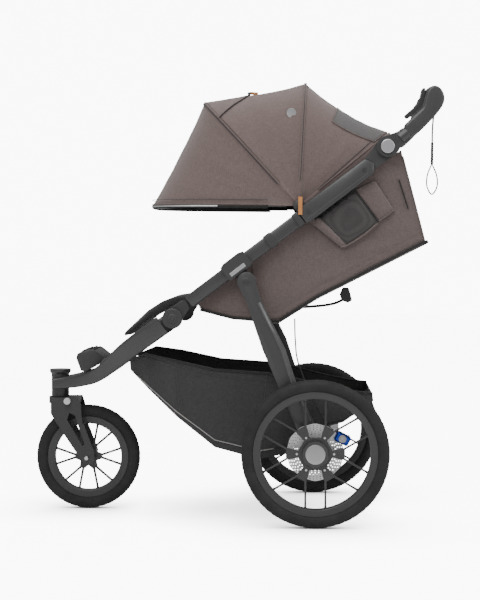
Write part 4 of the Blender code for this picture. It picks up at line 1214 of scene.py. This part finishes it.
def seat_seam(name, u, sign):
    """A vertical seam on the side of the bag."""
    top, bottom = along_list(BAG_TOPS, u), along_list(BAG_BOTTOMS, u)
    points = []
    for k in range(25):
        v = 0.02 + 0.93 * k / 24
        point = top.lerp(bottom, v)
        point.y = sign * (bag_side_y(u, v) + 0.0008)
        points.append(point)
    tube(name, points, 0.0009, "thread", "main_frame", "seat_fabric", 2)


def bend_pad(name, bm, body, node, mat, swell):
    """A pad blown up a little by cloth simulation and kept close to its first shape."""
    mesh = bpy.data.meshes.new(name)
    bm.to_mesh(mesh)
    bm.free()
    obj = show(name, mesh, mat)
    remesh = obj.modifiers.new("Remesh", "REMESH")
    remesh.mode = "VOXEL"
    remesh.voxel_size = 0.0060
    bpy.context.view_layer.update()
    made = bpy.data.meshes.new_from_object(obj.evaluated_get(bpy.context.evaluated_depsgraph_get()))
    obj.modifiers.clear()
    obj.data = made
    start = [v.co.copy() for v in made.vertices]
    cloth = obj.modifiers.new("Cloth", "CLOTH")
    cloth.settings.quality = 4
    cloth.settings.use_pressure = True
    cloth.settings.uniform_pressure_force = 4.0
    cloth.settings.tension_stiffness = 12.0
    cloth.settings.compression_stiffness = 12.0
    cloth.settings.effector_weights.gravity = 0.0
    cloth.point_cache.frame_start = 1
    cloth.point_cache.frame_end = 20
    scene = bpy.context.scene
    for number in range(1, 21):
        scene.frame_set(number)
    moved = obj.evaluated_get(bpy.context.evaluated_depsgraph_get()).data
    places = [v.co.copy() for v in moved.vertices]
    obj.modifiers.clear()
    for vertex, before, after in zip(made.vertices, start, places):
        step = after - before
        if step.length > swell:
            step *= swell / step.length
        vertex.co = before + step
    scene.frame_set(1)
    made.shade_smooth()
    made.materials.clear()
    made.materials.append(MAT[mat])
    smooth = obj.modifiers.new("Subdivision", "SUBSURF")
    smooth.levels = 1
    smooth.render_levels = 1
    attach(obj, body)
    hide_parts(node)
    return obj


def slab_bm(outline, half, shrink=0.0):
    """A prism over a side outline, from -half to half across."""
    cx = sum(x for x, z in outline) / len(outline)
    cz = sum(z for x, z in outline) / len(outline)
    pulled = []
    for x, z in outline:
        away = Vector((x - cx, z - cz))
        away *= max(0.0, 1 - shrink / max(away.length, 1e-6))
        pulled.append((cx + away.x, cz + away.y))
    bm = bmesh.new()
    left = [bm.verts.new((x, half, z)) for x, z in pulled]
    right = [bm.verts.new((x, -half, z)) for x, z in pulled]
    bm.faces.new(left)
    bm.faces.new(list(reversed(right)))
    for i in range(len(left)):
        j = (i + 1) % len(left)
        bm.faces.new((left[j], left[i], right[i], right[j]))
    bmesh.ops.recalc_face_normals(bm, faces=bm.faces)
    return bm


def seat_pads():
    outline = [(0.0760, 0.5930), (0.0, 0.5700), (-0.1130, 0.5670), (-0.1175, 0.5780),
               (-0.1100, 0.5880), (0.0, 0.5930), (0.0790, 0.6120), (0.0870, 0.6045)]
    bend_pad("seat_cushion_shown", slab_bm(outline, 0.186), "main_frame", "seat_cushion", "seat",
             0.004)
    back, up = BACK_ALONG, BACK_UP
    points = [BACK_HINGE - 0.003 * up + 0.004 * back, BACK_HINGE + 0.340 * back - 0.003 * up,
              BACK_HINGE + 0.350 * back + 0.009 * up, BACK_HINGE + 0.340 * back + 0.019 * up,
              BACK_HINGE + 0.019 * up + 0.004 * back, BACK_HINGE + 0.008 * up]
    bend_pad("seat_back_shown", slab_bm(flat(points), 0.182), "seat_back", "seat_back", "seat",
             0.004)
    outline = [(0.1080, 0.6010), (0.1090, 0.6215), (0.1673, 0.6125), (0.1995, 0.6005),
               (0.2395, 0.5750), (0.3110, 0.5075), (0.3040, 0.5015), (0.2350, 0.5585),
               (0.1655, 0.5945)]
    bend_pad("leg_rest_shown", slab_bm(outline, 0.147), "main_frame", "leg_rest", "pad",
             0.004)


def strap_line(name, points, body, width=0.025):
    ribbon(name, smooth_path(points, 24), width, 0.0020, (0, 1, 0), "webbing", body, "webbing")


def straps():
    """Shoulder straps and pads on the back rest, a lap strap across the cushion, the crotch strap and the recline
    strap.
    """
    back, up = BACK_ALONG, BACK_UP
    for side, sign in SIDES.items():
        points = [BACK_HINGE + back * along + up * (0.0262 + 0.0015 * math.sin(along * 40))
                  + Vector((0, sign * (0.055 - 0.03 * along), 0))
                  for along in (0.050, 0.110, 0.170, 0.230, 0.290)]
        strap_line("shoulder_strap_" + side, points, "seat_back")
        pad = [BACK_HINGE + back * along + up * 0.0300
               + Vector((0, sign * (0.055 - 0.03 * along), 0))
               for along in (0.130, 0.180, 0.230, 0.270)]
        ribbon("shoulder_pad_" + side, smooth_path(pad, 16), 0.046, 0.0070, (0, 1, 0), "pad",
               "seat_back", "dark_fabric")
        lap = [Vector((-0.0450 - 0.008 * k, sign * (0.024 + 0.025 * k), 0.6050 + 0.0006 * k))
               for k in range(6)]
        across = smooth_path(lap, 20)
        ribbon("lap_strap_" + side, across, 0.025, 0.0020, (1, 0, 0), "webbing", "main_frame",
               "webbing")
    strap_line("crotch_strap", [(-0.0250, 0, 0.6030), (0.0050, 0, 0.6000), (0.0350, 0, 0.6050)],
               "main_frame", 0.022)
    path = smooth_path([(-0.1900, 0, 0.5830), (-0.2200, 0, 0.5850), (-0.2600, 0, 0.5890),
                        (-0.2900, 0, 0.5960), (-0.3200, 0, 0.6110)], 30)
    obj = ribbon("recline_strap_shown", path, 0.0250, 0.0070, (0, 1, 0), "webbing", "main_frame",
                 "webbing")
    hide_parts("recline_strap")


# Side pocket ------------------------------------------------------------------
def patch(name, corners, y, mat, bulge=0.0, across=24, down=24, thickness=0.0012):
    """A four-cornered piece of cloth in the side view, standing out by bulge in its middle."""
    a, b, c, d = (Vector((x, 0.0, z)) for x, z in corners)
    rows = []
    for i in range(down + 1):
        v = i / down
        row = []
        for j in range(across + 1):
            u = j / across
            point = a.lerp(b, u).lerp(d.lerp(c, u), v)
            soft = noise.noise(Vector((point.x * 26, point.z * 22, 4.0)))
            middle = (math.sin(math.pi * u) * math.sin(math.pi * v)) ** 0.5
            point.y = y + (bulge + 0.0012 * soft) * middle
            row.append(point)
        rows.append(row)
    bm = grid_bm(rows)
    obj = show(name, mesh_from(name, bm, 60), mat, "main_frame", "dark_fabric")
    thicken(obj, thickness, 0.0)
    return obj


def side_pocket():
    """A netted pocket bound with taupe bands, a smaller cloth one behind it, and elastic."""
    patch("pocket_back", [(-0.2060, 0.8300), (-0.3330, 0.9190), (-0.3960, 0.8212),
                          (-0.3060, 0.7640)], 0.2182, "lining", 0.0, 12, 12)
    net = patch("side_pocket_shown", [(-0.2388, 0.8349), (-0.3338, 0.9110), (-0.3966, 0.8212),
                                      (-0.3124, 0.7614)], 0.2228, "net", 0.0064)
    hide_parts("side_pocket")
    patch("pocket_band", [(-0.2060, 0.8290), (-0.2388, 0.8349), (-0.3124, 0.7614),
                          (-0.2960, 0.7560)], 0.2236, "seat", 0.0052, 8, 24, 0.0016)
    patch("pocket_cloth", [(-0.3338, 0.9110), (-0.3881, 0.9354), (-0.4399, 0.8565),
                           (-0.3993, 0.8267)], 0.2206, "seat", 0.0056, 16, 24, 0.0016)
    edges = {"pocket_hem": ([(-0.2960, 0.7560), (-0.3124, 0.7600), (-0.3560, 0.7870),
                             (-0.3966, 0.8205)], 0.0026, "seat", 0.2240),
             "pocket_seam": ([(-0.2388, 0.8349), (-0.2780, 0.8000), (-0.3124, 0.7614)], 0.0011,
                             "dark_thread_and_groove_shade", 0.2252),
             "pocket_join": ([(-0.3338, 0.9110), (-0.3660, 0.8690), (-0.3980, 0.8235)], 0.0018,
                             "piping", 0.2242),
             "pocket_lip": ([(-0.2060, 0.8300), (-0.2710, 0.8750), (-0.3338, 0.9120)], 0.0020,
                            "piping", 0.2236),
             "cloth_hem": ([(-0.3993, 0.8267), (-0.4200, 0.8410), (-0.4399, 0.8565)], 0.0022,
                           "seat", 0.2222)}
    for name, (points, radius, mat, y) in edges.items():
        path = smooth_path([(x, y, z) for x, z in points], 30)
        tube(name, path, radius, mat, "main_frame", "dark_fabric", 3)
    lace = []
    for k in range(11):
        along = 0.405 + 0.0135 * k
        point = along_tube(along, -0.0250 if k % 2 else -0.0370, 0.2250 if k % 2 else 0.2262)
        lace.append(point)
    tube("pocket_lace", lace, 0.0013, "webbing", "main_frame", "dark_fabric", 3)


# Basket -----------------------------------------------------------------------
BASKET_STEPS = 96
BASKET_TOPS = [Vector((x, 0.0, z)) for x, z in (
    (0.2950, 0.4370), (0.2442, 0.4570), (0.1700, 0.4440), (0.0500, 0.4180), (-0.0943, 0.4080),
    (-0.1711, 0.3940), (-0.2500, 0.3740), (-0.3280, 0.3580), (-0.3850, 0.3520))]
BASKET_BOTTOMS = [Vector((x, 0.0, z)) for x, z in (
    (0.2920, 0.4080), (0.2350, 0.3560), (0.1560, 0.2860), (0.0500, 0.2020), (-0.0700, 0.1700),
    (-0.1500, 0.1850), (-0.2050, 0.2450), (-0.3050, 0.2720), (-0.3880, 0.3300))]
BASKET_HALVES = [Vector((h, 0, 0)) for h in (0.120, 0.165, 0.205, 0.210, 0.210, 0.210, 0.205,
                                             0.200, 0.190)]


def basket_side(u, v):
    """A point on the basket's left side, u front to rear and v top to bottom."""
    point = along_list(BASKET_TOPS, u).lerp(along_list(BASKET_BOTTOMS, u), v)
    half = along_list(BASKET_HALVES, u).x
    edge = min(1.0, 10 * v, 10 * (1 - v), 10 * u, 10 * (1 - u))
    soft = noise.noise(Vector((u * 11.0, v * 1.5, 12.0)))
    soft += 0.5 * noise.noise(Vector((u * 26.0, v * 3.0, 2.0)))
    sag = 0.0040 * math.sin(math.pi * v) * edge
    point.y = half - 0.0030 + edge * 0.0022 * soft - sag * 0.5
    return point


def basket():
    rows = []
    for i in range(BASKET_STEPS + 1):
        u = i / BASKET_STEPS
        row = [basket_side(u, 0.94 * j / 24) for j in range(25)]
        bottom = along_list(BASKET_BOTTOMS, u)
        half = along_list(BASKET_HALVES, u).x
        for k in range(8):
            low = bottom.copy()
            spread = math.cos(math.pi / 2 * (k + 0.6) / 8)
            low.y = (half - 0.006) * spread
            low.z += 0.0005 - 0.0010 * (1 - spread)
            row.append(low)
        centre = bottom.copy()
        row += [centre] + mirrored(row)
        rows.append(row)
    obj = lined_shell("basket", rows, "basket", "dark_fabric")
    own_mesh(obj)
    thicken(obj, 0.0016).modifiers["Solidify"].material_offset = 1
    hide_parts("basket")
    basket_trim()


def basket_line(name, path, radius, mat, out=0.0006):
    """Piping or a seam on both sides of the basket. path is of (u, v)."""
    for side, sign in SIDES.items():
        points = []
        for u, v in path:
            point = basket_side(u, v)
            points.append(Vector((point.x, sign * (point.y + out), point.z)))
        obj = cord_mesh(f"{name}_{side}", points, radius, mat, "dark_fabric", 8)
        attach(obj, "main_frame")
        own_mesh(obj)


def basket_trim():
    lines = [("basket_rim", 0, 97, 0.0, 0.0034, "piping", 0.0006),
             ("basket_hem", 4, 94, 0.085, 0.0008, "dark_thread_and_groove_shade", 0.0004),
             ("basket_piping", 4, 55, 0.90, 0.0014, "basket_piping", 0.0012),
             ("basket_base_seam", 55, 95, 0.90, 0.0012, "piping", 0.0008)]
    for name, start, stop, v, radius, mat, out in lines:
        path = [(i / BASKET_STEPS, v) for i in range(start, stop)]
        basket_line(name, path, radius, mat, out)
    for index, u in enumerate((0.262, 0.500, 0.742)):
        basket_line(f"basket_seam_{index}", [(u, 0.02 + 0.9 * k / 24) for k in range(25)], 0.0009,
                    "dark_thread_and_groove_shade", 0.0004)


# Small trim -------------------------------------------------------------------
def collar(name, start, stop, y, body="main_frame"):
    """A moulded sleeve round a side tube, with rounded ends."""
    widths = (0.0262, 0.0290, 0.0296, 0.0296, 0.0290, 0.0262)
    depths = (0.0382, 0.0410, 0.0418, 0.0418, 0.0410, 0.0382)
    length = stop - start
    points = [along_tube(start + length * t, 0.0, y) for t in (0.0, 0.04, 0.12, 0.88, 0.96, 1.0)]
    return bar(name, points, widths, depths, "moulded_black", body, "moulded_black", square=5.0,
               count=32, up=(0.6018, 0, 0.7986))


def tube_trim():
    for side, sign in SIDES.items():
        for index, (start, stop) in enumerate(((0.268, 0.292), (0.366, 0.384))):
            collar(f"tube_collar_{side}_{index}", start, stop, sign * TUBE_Y)
        for index, s in enumerate((0.410, 0.600)):
            place = along_tube(s, 0.0, sign * 0.2485)
            screw = [(0.0, 0.0010), (0.0030, 0.0010), (0.0034, 0.0016), (0.0048, 0.0016),
                     (0.0054, 0.0008), (0.0054, -0.0004)]
            turned(f"housing_screw_{side}_{index}", screw, place, "moulded_black", "main_frame",
                   "moulded_black", 24, sign=sign)
        groove = [along_tube(0.395, -0.0120), along_tube(0.602, -0.0120),
                  along_tube(0.602, -0.0138), along_tube(0.395, -0.0138)]
        plate("housing_line_" + side, flat(groove), sign * 0.2486, 0.0006, "leg_light",
              "main_frame", "frame_satin")


def footrest_treads():
    """Rubber ribs pressed into the footrest's grooves."""
    for index, (x, z) in enumerate([(0.4010, 0.4640), (0.4110, 0.4650), (0.4240, 0.4626),
                                    (0.4350, 0.4586)]):
        rounded_box(f"footrest_tread_{index}", (x, 0.0, z), (0.0028, 0.1490, 0.0044),
                    "soft_rubber", "front_frame", "moulded_black", 0.0008)


plain_parts()
for side, sign in SIDES.items():
    rear_wheel(side, sign)
front_wheel()
front_arms()
hinge_heads()
leg_strips()
calipers()
handle()
cable()
wrist_strap()
canopy_panels()
canopy_seams()
canopy_flap()
canopy_badge()
canopy_vent()
rear_hems()
rear_band()
canopy_pulls()
bag_trim(seat_bag())
for side, sign in SIDES.items():
    seat_seam("bag_seam_" + side, 0.30, sign)
seat_pads()
straps()
side_pocket()
basket()
tube_trim()
footrest_treads()
camera()
studio()
